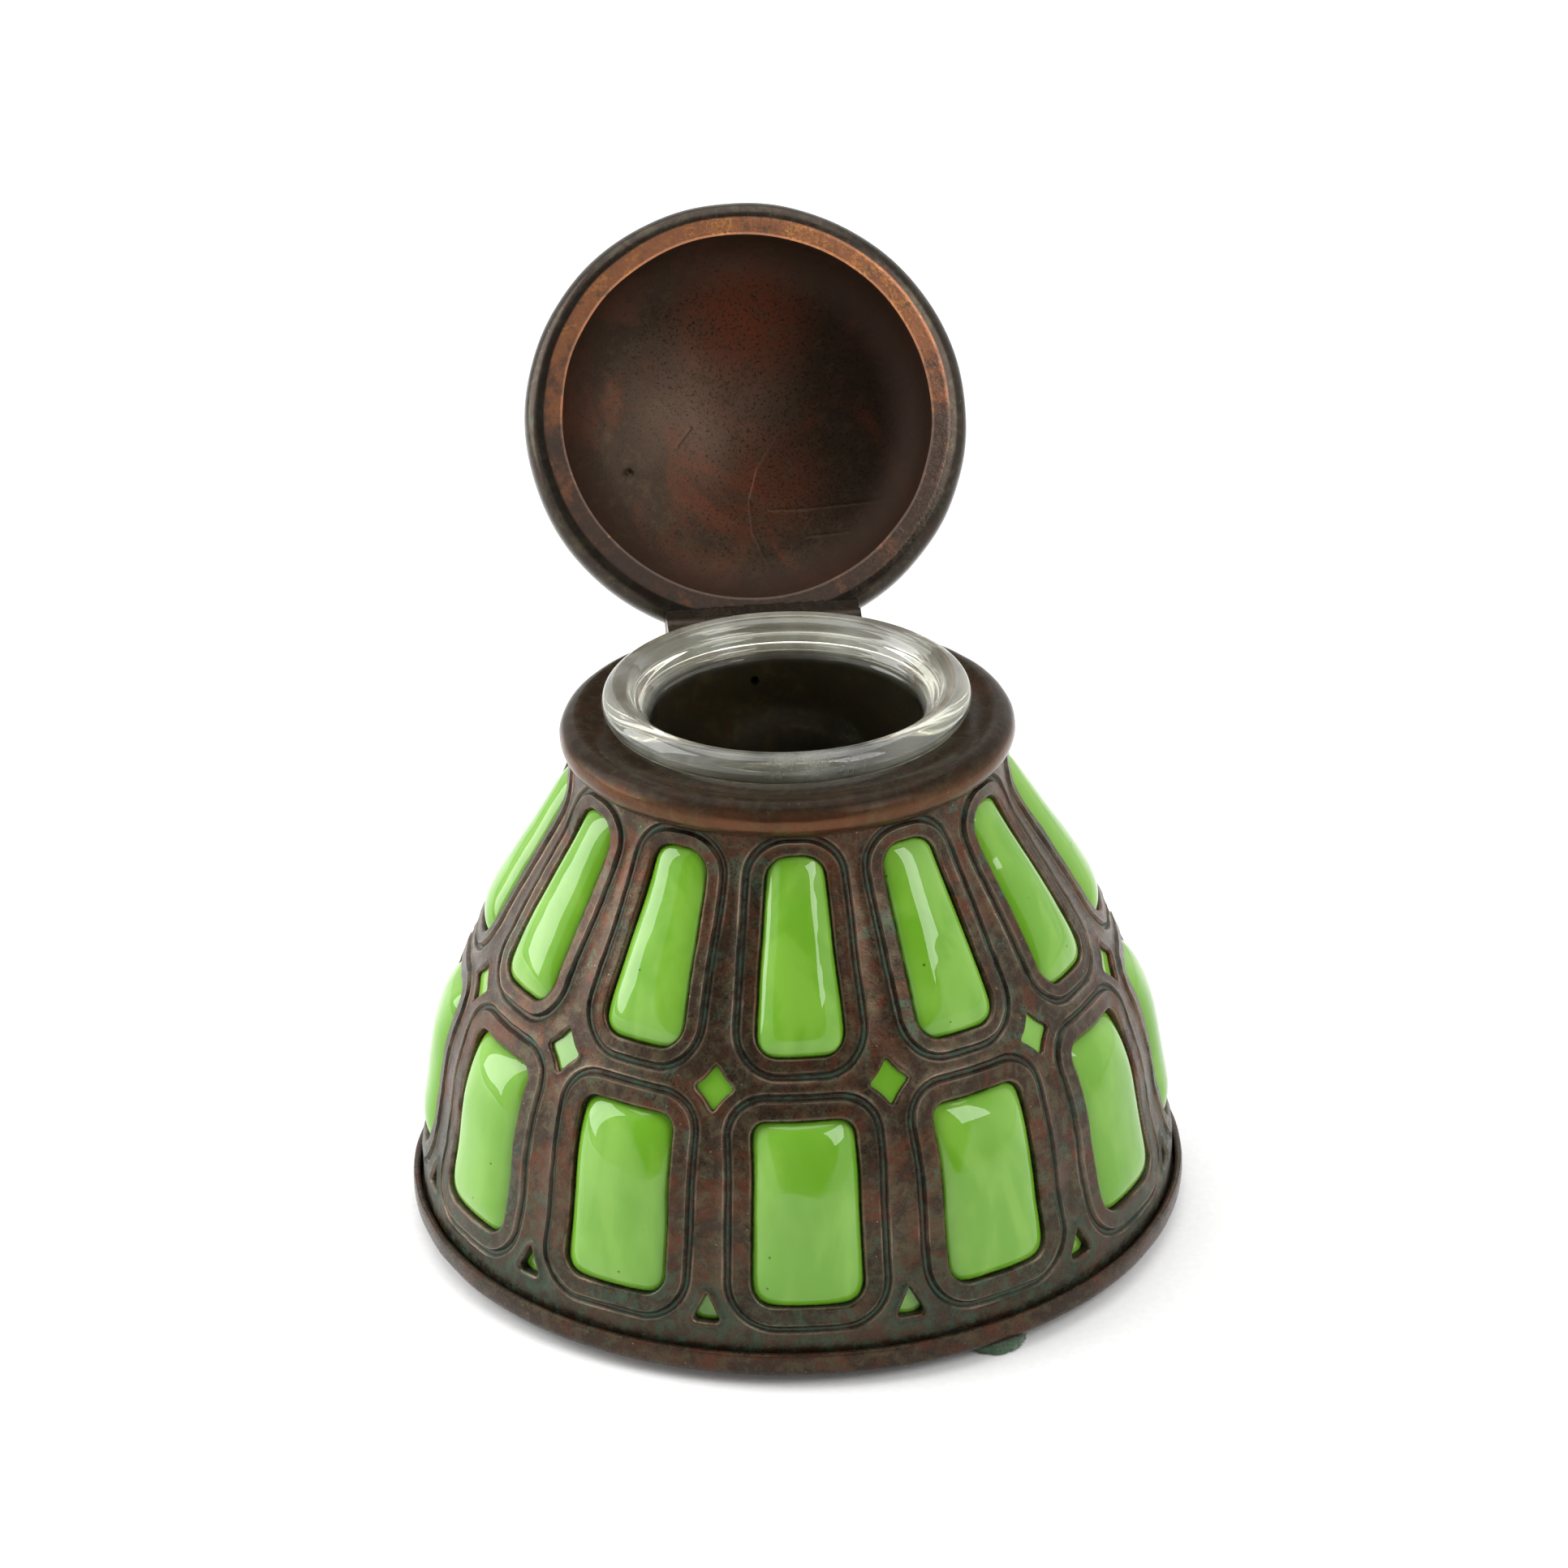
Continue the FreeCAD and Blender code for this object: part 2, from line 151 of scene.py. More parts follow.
def make_object(name, points, faces, attributes=None, sharp=None, weld=True):
    # a mesh object from points in millimetres; sharp is the angle, in degrees, from which edges stay hard
    mesh = bpy.data.meshes.new(name)
    mesh.from_pydata((np.asarray(points) * MM).tolist(), [], [tuple(f) for f in faces])
    for key, values in (attributes or {}).items():
        layer = mesh.attributes.new(key, "FLOAT", "POINT")
        layer.data.foreach_set("value", np.asarray(values, np.float32))
    obj = bpy.data.objects.new(name, mesh)
    bpy.context.scene.collection.objects.link(obj)
    if weld:
        edit = bmesh.new()
        edit.from_mesh(mesh)
        bmesh.ops.remove_doubles(edit, verts=edit.verts, dist=2e-6)
        bmesh.ops.recalc_face_normals(edit, faces=edit.faces)
        edit.to_mesh(mesh)
        edit.free()
    mesh.shade_smooth()
    if sharp:
        mesh.set_sharp_from_angle(angle=math.radians(sharp))
    return obj


def rounded_line(points, radii, step):
    # the line with its corners rounded to the radii (one, or one per corner), resampled about every step
    pts = [np.array(p, float) for p in points]
    out = [pts[0]]
    for i in range(1, len(pts) - 1):
        c, r = pts[i], radii[i - 1] if isinstance(radii, (list, tuple)) else radii
        a, b = pts[i - 1] - c, pts[i + 1] - c
        la, lb = np.linalg.norm(a), np.linalg.norm(b)
        a, b = a / la, b / lb
        half = math.acos(np.clip(a @ b, -1, 1)) / 2
        if r <= 0 or half > 1.55:
            out.append(c)
            continue
        reach = min(r / math.tan(half), 0.98 * la, 0.98 * lb)
        r = reach * math.tan(half)
        mid = (a + b) / np.linalg.norm(a + b)
        centre = c + mid * r / math.sin(half)
        start, end = c + a * reach - centre, c + b * reach - centre
        turn = math.acos(np.clip(start @ end / r ** 2, -1, 1))
        n = max(3, int(r * turn / step) + 2)
        for k in range(n):
            w = k / (n - 1)
            v = (math.sin((1 - w) * turn) * start + math.sin(w * turn) * end) / math.sin(turn)
            out.append(centre + v)
    out.append(pts[-1])
    line = [out[0]]
    for p in out[1:]:
        gap = np.linalg.norm(p - line[-1])
        if gap < 1e-6:
            continue
        base = line[-1]
        n = max(1, int(gap / step))
        for k in range(1, n + 1):
            line.append(base + (p - base) * k / n)
    return np.array(line)


def lathe(name, profile, segments, closed, relief=None, sharp=40, extra=None):
    # profile: (r, z) rows; relief(points, row numbers) moves the finished points; extra: attributes by row
    rows = len(profile)
    angles = np.linspace(0, 2 * math.pi, segments, endpoint=False)
    r, z = profile[:, 0], profile[:, 1]
    points = np.stack([np.outer(r, np.cos(angles)), np.outer(r, np.sin(angles)),
                       np.outer(z, np.ones(segments))], -1).reshape(-1, 3)
    k = np.repeat(np.arange(rows), segments)
    if relief:
        points = relief(points, k)
    i, j = np.meshgrid(np.arange(rows if closed else rows - 1), np.arange(segments), indexing="ij")
    nxt, side = (i + 1) % rows, (j + 1) % segments
    quads = np.stack([i * segments + j, i * segments + side, nxt * segments + side, nxt * segments + j], -1)
    attributes = {key: np.repeat(values, segments) for key, values in (extra or {}).items()}
    return make_object(name, points, quads.reshape(-1, 4), attributes, sharp)


# ---------------------------------------------------------------- the cage's outer line

LINE = curve_through(SHOULDER, 1200)
LINE_S = np.concatenate([[0], np.cumsum(np.hypot(*np.diff(LINE, axis=0).T))])
TANGENT = np.gradient(LINE, LINE_S, axis=0)


def at(s):
    # radius, height and outward normal (r, z) of the cage's outer line at arc length s
    r, z = np.interp(s, LINE_S, LINE[:, 0]), np.interp(s, LINE_S, LINE[:, 1])
    tr, tz = np.interp(s, LINE_S, TANGENT[:, 0]), np.interp(s, LINE_S, TANGENT[:, 1])
    size = np.hypot(tr, tz)
    return r, z, tz / size, -tr / size


def arc_at(z):
    return np.interp(z, LINE[:, 1], LINE_S)


def outline(shape, step=0.45):
    # right half of a rounded outline as (u, z), top to bottom, ending on the symmetry line
    sides, radii = shape
    low, high = sides[0], sides[-1]
    walk = [(0, high[1])] + [p for p in reversed(sides) if p[0] > 0] + ([(0, low[1])] if low[0] > 0 else [])
    sizes = list(reversed(radii))
    if high[0] == 0:
        sizes = sizes[1:]
    return rounded_line(walk, sizes, step)


def diamond_outline():
    # right half of a diamond with bowed sides and blunted tips
    top, side, bottom = (0, DIAMOND_Z + DIAMOND_H), (DIAMOND_W, DIAMOND_Z), (0, DIAMOND_Z - DIAMOND_H)
    tip = 0.2

    def bowed(a, b):
        t = np.linspace(0, 1, 9)[:, None]
        a, b = np.array(a, float), np.array(b, float)
        pull = np.array([0, DIAMOND_Z]) - (a + b) / 2
        return a + (b - a) * t + pull * 0.5 * t * (1 - t)
    first, second = bowed(top, side)[1:-1], bowed(side, bottom)[1:-1]
    return np.concatenate([[(0, top[1] - tip)], first, [(side[0] - tip, DIAMOND_Z)], second,
                           [(0, bottom[1] + tip)]])


def to_surface(line):
    # (u, z) to (u, s)
    return np.stack([line[:, 0], arc_at(line[:, 1])], -1)


def grown(line, d):
    # the half outline moved outwards by d, ends kept on the symmetry line
    t = np.gradient(line, axis=0)
    n = np.stack([-t[:, 1], t[:, 0]], -1)
    n /= np.linalg.norm(n, axis=1)[:, None] + 1e-12
    n[0], n[-1] = (0, 1), (0, -1)
    return line + n * d


def degrees_at(u, s):
    return np.degrees(np.arcsin(np.clip(u / at(s)[0], -1, 1)))


def distance(points, line):
    # unsigned distance from (u, s) points to an open polyline
    best = np.full(len(points), 1e9)
    for a, b in zip(line[:-1], line[1:]):
        ab = b - a
        t = np.clip(((points - a) @ ab) / (ab @ ab + 1e-12), 0, 1)
        best = np.minimum(best, np.hypot(*(points - a - t[:, None] * ab).T))
    return best


UP_LINE, LOW_LINE = to_surface(outline(UPPER)), to_surface(outline(LOWER))
DIA_LINE, TRI_LINE = to_surface(diamond_outline()), to_surface(outline(TRIANGLE, 0.3))
HALF_PITCH = 180.0 / COLUMNS


def half_tile():
    # triangles of half a column, from the middle of a window (0) to the middle of a bar (15 degrees)
    top = LINE_S[-1]
    squash_x = 0.72  # makes a degree as long as a millimetre of height, roughly, for the triangulation

    def upright(angle, s0, s1, taken):
        # points straight up or down the tile's side, with those that the loops put there
        n = max(2, int(abs(s1 - s0) / 0.9) + 1)
        ladder = list(np.linspace(s0, s1, n))
        ladder += [s for s in taken if min(s0, s1) < s < max(s0, s1)]
        ladder = sorted(ladder, reverse=bool(s1 < s0))
        kept = [ladder[0]]
        for s in ladder[1:-1]:
            keep = any(abs(s - q) < 1e-9 for q in taken) or all(abs(s - q) > 0.15 for q in list(taken) + [s1])
            if keep and abs(s - kept[-1]) > 1e-6:
                kept.append(s)
        kept.append(ladder[-1])
        return [(angle, s) for s in kept]

    window_loops = (0.1, 0.28, 0.5, 1.0)
    channel = (-0.35, -0.12, 0.05, 0.22, 0.5, 0.75, 0.92, 1.1, 1.35)
    up_loops = window_loops + tuple(UPPER_BAND + d for d in channel)
    low_loops = window_loops + tuple(LOWER_BAND + d for d in (-0.8,) + channel)
    small_loops = (0.1, 0.28, 0.5, 0.8, 1.2)
    loops = []
    for line, ds, side in ((UP_LINE, up_loops, 0), (LOW_LINE, low_loops, 0), (DIA_LINE, small_loops, 1),
                           (TRI_LINE, small_loops, 1)):
        for d in (0,) + ds:
            g = grown(line, d)
            angle = degrees_at(g[:, 0], g[:, 1])
            loops.append((side, d, np.stack([HALF_PITCH - angle if side else angle, g[:, 1]], -1)))
    left_taken = [q for side, d, g in loops if side == 0 and d > 0 for q in (g[0, 1], g[-1, 1])]
    right_taken = [q for side, d, g in loops if side == 1 and d > 0 for q in (g[0, 1], g[-1, 1])]
    up, low, dia, tri = [g for side, d, g in loops if d == 0]
    boundary = [(a, 0.0) for a in np.linspace(0, HALF_PITCH, 14)[:-1]]
    boundary += upright(HALF_PITCH, 0, tri[-1, 1], right_taken)[:-1] + [tuple(p) for p in tri[::-1]]
    boundary += upright(HALF_PITCH, tri[0, 1], dia[-1, 1], right_taken)[1:-1] + [tuple(p) for p in dia[::-1]]
    boundary += upright(HALF_PITCH, dia[0, 1], top, right_taken)[1:]
    boundary += [(a, top) for a in np.linspace(HALF_PITCH, 0, 14)[1:-1]]
    boundary += upright(0, top, up[0, 1], left_taken)[:-1] + [tuple(p) for p in up]
    boundary += upright(0, up[-1, 1], low[0, 1], left_taken)[1:-1] + [tuple(p) for p in low]
    boundary += upright(0, low[-1, 1], 0, left_taken)[1:-1]
    points = [tuple(p) for p in boundary]
    edges = [(i, (i + 1) % len(points)) for i in range(len(points))]
    ring = list(range(len(points)))
    for _, d, g in loops:
        if d > 0:
            first = len(points)
            points += [tuple(p) for p in g]
            edges += [(first + k, first + k + 1) for k in range(len(g) - 1)]
    rng = np.random.default_rng(5)
    crowd = np.array(points) * (squash_x, 1)
    for s in np.arange(0.6, top, 0.95):
        for a in np.arange(0.7, HALF_PITCH - 0.5, 1.25):
            p = np.array([a + rng.uniform(-0.2, 0.2), s + rng.uniform(-0.15, 0.15)])
            if np.hypot(*(crowd - p * (squash_x, 1)).T).min() > 0.5:
                points.append(tuple(p))
    flat = [Vector((p[0] * squash_x, p[1])) for p in points]
    verts, _, faces, _, _, _ = delaunay_2d_cdt(flat, edges, [ring], 1, 1e-5)
    verts = np.array([(v.x / squash_x, v.y) for v in verts])
    return verts, [tuple(f) for f in faces]


def window_relief(d, band):
    # raised band round the window, then a shallow channel with a chased line along each side
    h = 0.20 * (1 - smoothstep(d, band - 0.12, band + 0.08))
    h -= 0.17 * smoothstep(d, band - 0.02, band + 0.20) * (1 - smoothstep(d, band + 0.72, band + 0.95))
    h -= 0.15 * bump_at(d, band + 0.16, 0.16) + 0.13 * bump_at(d, band + 0.84, 0.16)
    h += 0.08 * bump_at(d, band - 0.1, 0.16) + 0.14 * bump_at(d, band + 1.08, 0.16)
    return h


def edge_round(d, r):
    # level of a cut edge rounded to r, at the distance d from it
    return -(r - np.sqrt(np.maximum(r * r - np.clip(r - d, 0, r) ** 2, 0)))


def handmade(points):
    # the small unevenness of a hand-finished casting, the same for metal and glass
    angle = np.arctan2(points[:, 1], points[:, 0])
    r = np.hypot(points[:, 0], points[:, 1])
    angle = angle + np.radians(0.2) * wobble(points, 24, 11) + np.radians(0.05) * wobble(points, 8, 12)
    z = points[:, 2] + (0.15 * wobble(points, 22, 13) + 0.05 * wobble(points, 7, 14)) * \
        smoothstep(points[:, 2], 3, 9) * (1 - smoothstep(points[:, 2], 62, 66.5))
    return np.stack([r * np.cos(angle), r * np.sin(angle), z], -1)


def place(degrees, s, level):
    # angle and arc length on the cage's outer line, and height above it, to space
    r, z, nr, nz = at(s)
    a = np.radians(degrees)
    return np.stack([(r + nr * level) * np.cos(a), (r + nr * level) * np.sin(a), z + nz * level], -1)


def make_cage():
    # the half tile with its relief, set round the axis and mirrored, then given its inner side
    flat, faces = half_tile()
    angle, s = flat[:, 0], flat[:, 1]
    r = at(s)[0]
    here = np.stack([r * np.sin(np.radians(angle)), s], -1)
    there = np.stack([r * np.sin(np.radians(HALF_PITCH - angle)), s], -1)
    d_up, d_low = distance(here, UP_LINE), distance(here, LOW_LINE)
    d_dia, d_tri = distance(there, DIA_LINE), distance(there, TRI_LINE)
    nearest = np.minimum(np.minimum(d_up, d_low), np.minimum(d_dia, d_tri))
    level = window_relief(d_up, UPPER_BAND) + window_relief(d_low, LOWER_BAND)
    level += (0.1 * bump_at(d_dia, 0.45, 0.3) + 0.13 * bump_at(d_tri, 0.5, 0.35)
              - 0.12 * bump_at(d_tri, 1.15, 0.35))
    level += edge_round(nearest, 0.4)
    bands = ((d_up, UPPER_BAND), (d_low, LOWER_BAND))
    attributes = {
        "groove": np.maximum.reduce([bump_at(d, band + 0.5, 0.5) for d, band in bands] +
                                    [0.8 * bump_at(d_tri, 1.1, 0.5)]),
        "chased": np.maximum.reduce([bump_at(d, band + side, 0.15) for d, band in bands
                                     for side in (0.15, 0.84)]),
        "ridge": np.maximum.reduce([bump_at(d, band + side, wide) for d, band in bands
                                    for side, wide in ((-0.08, 0.16), (1.1, 0.17))]),
        "rim": bump_at(nearest, 0.12, 0.14)}
    tiles, tris = [], []
    for k in range(COLUMNS):
        middle = CAGE_TURN + 360.0 / COLUMNS * k
        for sign in (1, -1):
            first = len(tiles) * len(flat)
            tiles.append(np.stack([middle + sign * angle, s], -1))
            tris += [tuple(first + v for v in (f if sign > 0 else f[::-1])) for f in faces]
    whole = np.concatenate(tiles)
    outer = place(whole[:, 0], whole[:, 1], np.tile(level, len(tiles)))
    _, index, inverse = np.unique(np.round(outer, 4), axis=0, return_index=True, return_inverse=True)
    inverse = inverse.ravel()
    outer, whole = outer[index], whole[index]
    tris = [tuple(int(inverse[v]) for v in f) for f in tris]
    tris = [f for f in tris if len(set(f)) == len(f)]
    inner = place(whole[:, 0], whole[:, 1], -CAGE_WALL)
    inner[:, 2] = np.maximum(inner[:, 2], CAGE_FOOT)
    # an edge walked one way only is on a window's rim or on the cage's top or foot
    walked = dict.fromkeys((a, b) for f in tris for a, b in zip(f, f[1:] + f[:1]))
    rim_edges = [(a, b) for (a, b) in walked if (b, a) not in walked]
    n = len(outer)
    faces_all = tris + [tuple(n + v for v in reversed(f)) for f in tris]
    faces_all += [(b, a, n + a, n + b) for a, b in rim_edges]
    points = handmade(np.concatenate([outer, inner]))
    fine = 0.07 * wobble(points, 7, 21) + 0.045 * wobble(points, 2.2, 22)
    points = points + outward(points) * (fine * smoothstep(points[:, 2], 3, 6))[:, None]
    attributes = {key: np.tile(values, len(tiles))[index] for key, values in attributes.items()}
    attributes = {key: np.concatenate([values, values * 0]) for key, values in attributes.items()}
    return make_object("cage_bronze", points, faces_all, attributes, 55, weld=False)


def make_green_glass():
    # lining just under the metal, swelling out through every window like an inflated skin (cosh profiles)
    start, stop = float(arc_at(8.0)), float(arc_at(65.4))
    rows, per = 190, 84
    s = np.linspace(start, stop, rows)
    local = np.linspace(-HALF_PITCH, HALF_PITCH, per, endpoint=False)
    grid_s, grid_a = np.meshgrid(s, local, indexing="ij")
    r, z, _, _ = at(grid_s)
    u = r * np.sin(np.radians(grid_a))
    level = np.full_like(u, -CAGE_WALL - GLASS_GAP)
    full = np.zeros_like(u)
    lift = 3.25
    for sides, soft in ((UPPER[0], 1.6), (LOWER[0], 1.9)):
        zs = [p[1] for p in sides]
        half = np.interp(z, zs, [p[0] for p in sides]) + GLASS_TUCK
        low, high = arc_at(zs[0]), arc_at(zs[-1])
        middle, reach = (low + high) / 2, (high - low) / 2 + GLASS_TUCK
        across = 1 - np.cosh(np.clip(np.abs(u) / soft, 0, 9)) / np.cosh(half / soft)
        along = 1 - np.cosh(np.clip(np.abs(grid_s - middle) / soft, 0, 30)) / np.cosh(reach / soft)
        swell = np.clip(across, 0, 1) * np.clip(along, 0, 1)
        level += lift * swell
        full = np.maximum(full, swell)
    here = np.stack([np.abs(u), grid_s], -1).reshape(-1, 2)
    there = np.stack([r * np.sin(np.radians(HALF_PITCH - np.abs(grid_a))), grid_s], -1).reshape(-1, 2)
    triangle_z = sum(p[1] for p in TRIANGLE[0]) / 2
    for z_middle, wide, tall, rise in ((DIAMOND_Z, DIAMOND_W, DIAMOND_H, 1.3), (triangle_z, 2.0, 2.0, 0.6)):
        away = np.hypot(there[:, 0] / wide, (there[:, 1] - arc_at(z_middle)) / tall).reshape(level.shape)
        level += rise * (1 - smoothstep(away, 0.9, 1.7))
    # mask for the painted shade along the window edges
    rims = [bump_at(distance(here, line), 0, 0.4) for line in (UP_LINE, LOW_LINE)]
    rims += [0.7 * bump_at(distance(there, line), 0, 0.2) for line in (DIA_LINE, TRI_LINE)]
    border = np.maximum.reduce(rims).reshape(level.shape)
    sheet = []
    for k in range(COLUMNS):
        turned = CAGE_TURN + 360.0 / COLUMNS * k + grid_a
        # no two columns swell out quite alike
        own = level + 0.18 * math.sin(2.1 * k + 0.7) * full
        sheet.append(place(turned.ravel(), grid_s.ravel(), own.ravel()).reshape(rows, per, 3))
    around = per * COLUMNS
    points = handmade(np.concatenate(sheet, axis=1).reshape(-1, 3))
    fine = 0.05 * wobble(points, 11, 31) + 0.012 * wobble(points, 3.5, 32)
    radial = outward(points)
    points = points + radial * fine[:, None]
    inner = points - radial * GLASS_WALL
    i, j = np.meshgrid(np.arange(rows - 1), np.arange(around), indexing="ij")
    side = (j + 1) % around
    quads = np.stack([i * around + j, i * around + side, (i + 1) * around + side, (i + 1) * around + j], -1)
    quads = quads.reshape(-1, 4)
    n = rows * around
    faces = [tuple(q) for q in quads] + [tuple(n + v for v in reversed(q)) for q in quads]
    ring = np.arange(around)
    turn = (ring + 1) % around
    faces += [(n + a, n + b, b, a) for a, b in zip(ring, turn)]
    last = (rows - 1) * around
    faces += [(last + a, last + b, n + last + b, n + last + a) for a, b in zip(ring, turn)]
    glass_edge_shade = np.tile(border, COLUMNS).ravel()
    return make_object("green_glass_lining", np.concatenate([points, inner]), faces,
                       {"glass_edge_shade": np.concatenate([glass_edge_shade, glass_edge_shade])}, weld=False)


# ---------------------------------------------------------------- the turned pieces

def bead(r, z, size, first, last, count):
    # points along an arc, its ends given in degrees
    a = np.radians(np.linspace(first, last, count))
    return np.stack([r + size * np.cos(a), z + size * np.sin(a)], -1)


def box_cutter(x, y0, y1, z0, z1):
    corners = [(a, b, c) for a in (-x, x) for b in (y0, y1) for c in (z0, z1)]
    faces = [(0, 1, 3, 2), (4, 6, 7, 5), (0, 4, 5, 1), (2, 3, 7, 6), (0, 2, 6, 4), (1, 5, 7, 3)]
    return make_object("cutter", corners, faces)


def barrel_cutter(radius, half):
    # a cylinder along the hinge line
    a = np.linspace(0, 2 * math.pi, 64, endpoint=False)
    ring = np.stack([a * 0, HINGE_Y + radius * np.cos(a), HINGE_Z + radius * np.sin(a)], -1)
    points = np.concatenate([ring - (half, 0, 0), ring + (half, 0, 0)])
    faces = [(k, (k + 1) % 64, 64 + (k + 1) % 64, 64 + k) for k in range(64)]
    faces += [tuple(range(63, -1, -1)), tuple(range(64, 128))]
    return make_object("cutter", points, faces)


def cone_cutter(x, y, z0, r0, z1, r1, z2):
    # a countersink from (r0, z0) to (r1, z1), then a straight hole up to z2
    profile = np.array([(0, z0), (r0, z0), (r1, z1), (r1, z2), (0, z2)], float)
    return lathe("cutter", profile, 48, False, lambda p, _: p + (x, y, 0))


def hinge_pocket(low, high):
    # room for a leaf and its knuckles, behind a turned piece
    half = HINGE_HALF + LEAF_GAP
    return [box_cutter(half, LEAF_SEAT_Y, 40, low, high), barrel_cutter(KNUCKLE_CLEAR, half)]


def carve(piece, cutters, sharp):
    # take the cutters' shapes out of the piece, for good
    for cutter in cutters:
        cut = piece.modifiers.new("cut", "BOOLEAN")
        cut.operation, cut.solver, cut.object = "DIFFERENCE", "EXACT", cutter
    seen = piece.evaluated_get(bpy.context.evaluated_depsgraph_get())
    mesh = bpy.data.meshes.new_from_object(seen)
    piece.modifiers.clear()
    piece.data = mesh
    for cutter in cutters:
        bpy.data.objects.remove(cutter)
    mesh.shade_smooth()
    mesh.set_sharp_from_angle(angle=math.radians(sharp))
    return piece


def hand_turned(amount, size, seed):
    # relief for lathe(): pulls the surface in by a small, uneven amount
    def relief(points, _):
        r = np.hypot(points[:, 0], points[:, 1])
        depth = amount * (0.5 + 0.5 * wobble(points, size, seed)) * smoothstep(r, 4, 12)
        return points - outward(points) * depth[:, None]
    return relief


def make_dish():
    # the base, countersunk from below for its screws
    outer = rounded_line([(0, DISH_Z), (DISH_R, DISH_Z), (DISH_R, DISH_LIP), (DISH_LIP_R, DISH_LIP),
                          (DISH_LIP_R, DISH_FLOOR), (0, DISH_FLOOR)], [1.5, 0.5, 0.45, 0.3], 0.7)
    dish = lathe("base_dish_rim", outer, 360, False, hand_turned(0.12, 9, 41), 35)
    cutters = []
    for k in range(SCREWS):
        a = math.radians(90 + 360 / SCREWS * k)
        x, y = SCREW_RING * math.cos(a), SCREW_RING * math.sin(a)
        cutters.append(cone_cutter(x, y, 1.2, 2.8, 2.5, 1.45, 2.9))
    return carve(dish, cutters, 35)


def make_collar():
    # a half-round bead, the liner's seat, and a spigot that drops into the cage
    profile = np.concatenate([
        bead(27.92, 69.77, 2.53, -58, 80, 30),
        [(27.55, 72.24), (26.9, 72.12), (26.2, 71.98), (25.4, 71.93), (24.4, 71.97), (20.6, 72.0), (20.3, 71.7),
         (20.3, 70.3), (24.6, 70.3), (24.6, 65.2), (26.3, 65.2), (26.3, 67.34), (28.95, 67.34)]])
    collar = lathe("collar_ring", profile, 420, True, hand_turned(0.1, 6, 42), 35)
    return carve(collar, hinge_pocket(68.5, 80), 35)


def make_liner():
    # a round flange, a throat that slopes in with faint turned rings, and a straight cup below
    top, low, tube, tube_r, tube_z = 76.2, 43.0, 22.54, 2.06, 74.14
    slope = curve_through([(tube, top), (21.55, 76.05), (20.75, 75.3), (20.0, 74.4), (19.2, 73.5), (18.5, 72.3),
                           (18.05, 70.6)], 90)
    t = np.linspace(0, 1, len(slope))
    rings = 0.09 * np.sin(2 * math.pi * 4.5 * t) * smoothstep(t, 0.04, 0.16) * (1 - smoothstep(t, 0.80, 0.95))
    slope = slope + np.stack([-0.77 * rings, 0.64 * rings], -1)
    outside = rounded_line([(0, low), (19.6, low), (19.6, tube_z - tube_r), (tube - 0.6, tube_z - tube_r)],
                           [3.5, 0.4], 1.2)
    inside = rounded_line([(18.0, 69.5), (17.8, 45.2), (0, 45.2)], [3.5], 1.2)
    profile = np.concatenate([outside, bead(tube, tube_z, tube_r, -90, 90, 34)[:-1], slope, inside])
    flange = smoothstep(profile[:, 1], 70.5, 72.5)
    return lathe("glass_liner", profile, 384, False, hand_turned(0.012, 18, 43), 60, {"flange": flange})


def make_lid():
    # built closed, then turned to its open stop
    outside = curve_through(LID_OUTER, 170)
    inside = curve_through(LID_INNER, 190)
    outside = np.concatenate([outside[outside[:, 0] > 0.3], [(0, LID_OUTER[-2][1])]])
    inside = np.concatenate([inside[inside[:, 0] > 0.3], [(0, LID_INNER[-2][1])]])
    flat = np.linspace(LID_INNER[0][0], LID_OUTER[0][0], 7)[1:-1]
    flat = np.stack([flat, flat * 0], -1)
    profile = np.concatenate([inside[::-1], flat, outside])
    inner_rows, flat_rows = len(inside), len(flat)
    row = np.arange(len(profile))
    ring = ((row >= inner_rows - 1) & (row <= inner_rows + flat_rows)).astype(float)
    hollow = (row < inner_rows).astype(float)
    # mask of the hollow's outer band, for painted shade there and a rougher, less metallic surface
    hollow_rim_shade = hollow * smoothstep(profile[:, 0], 19.0, 24.5)
    profile = profile + (0, LID_Z)

    def worn(points, k):
        # scratches, a pit and slow unevenness in the hollow
        inner = k < inner_rows - 4
        near = np.full(len(points), 1e9)
        for mark in SCRATCHES:
            near[inner] = np.minimum(near[inner], distance(points[inner, :2], np.array(mark)))
        pit = np.hypot(points[:, 0] - LID_PIT[0], points[:, 1] - LID_PIT[1])
        lift = 0.065 * bump_at(near, 0, 0.15) + 0.35 * bump_at(pit, 0, 0.45) + 0.05 * wobble(points, 9, 45)
        out = hand_turned(0.1, 8, 44)(points, k)
        out[:, 2] += inner * lift
        return out
    lid = lathe("lid_dome", profile, 640, False, worn, 40, {"ring": ring, "hollow": hollow, "hollow_rim_shade": hollow_rim_shade})
    carve(lid, hinge_pocket(60, 76.3), 40)
    hinge = Matrix.Translation(Vector((0, HINGE_Y, HINGE_Z)) * MM)
    lid.data.transform(hinge @ Matrix.Rotation(math.radians(-OPENING), 4, "X") @ hinge.inverted())
    return lid


# ---------------------------------------------------------------- felt pads

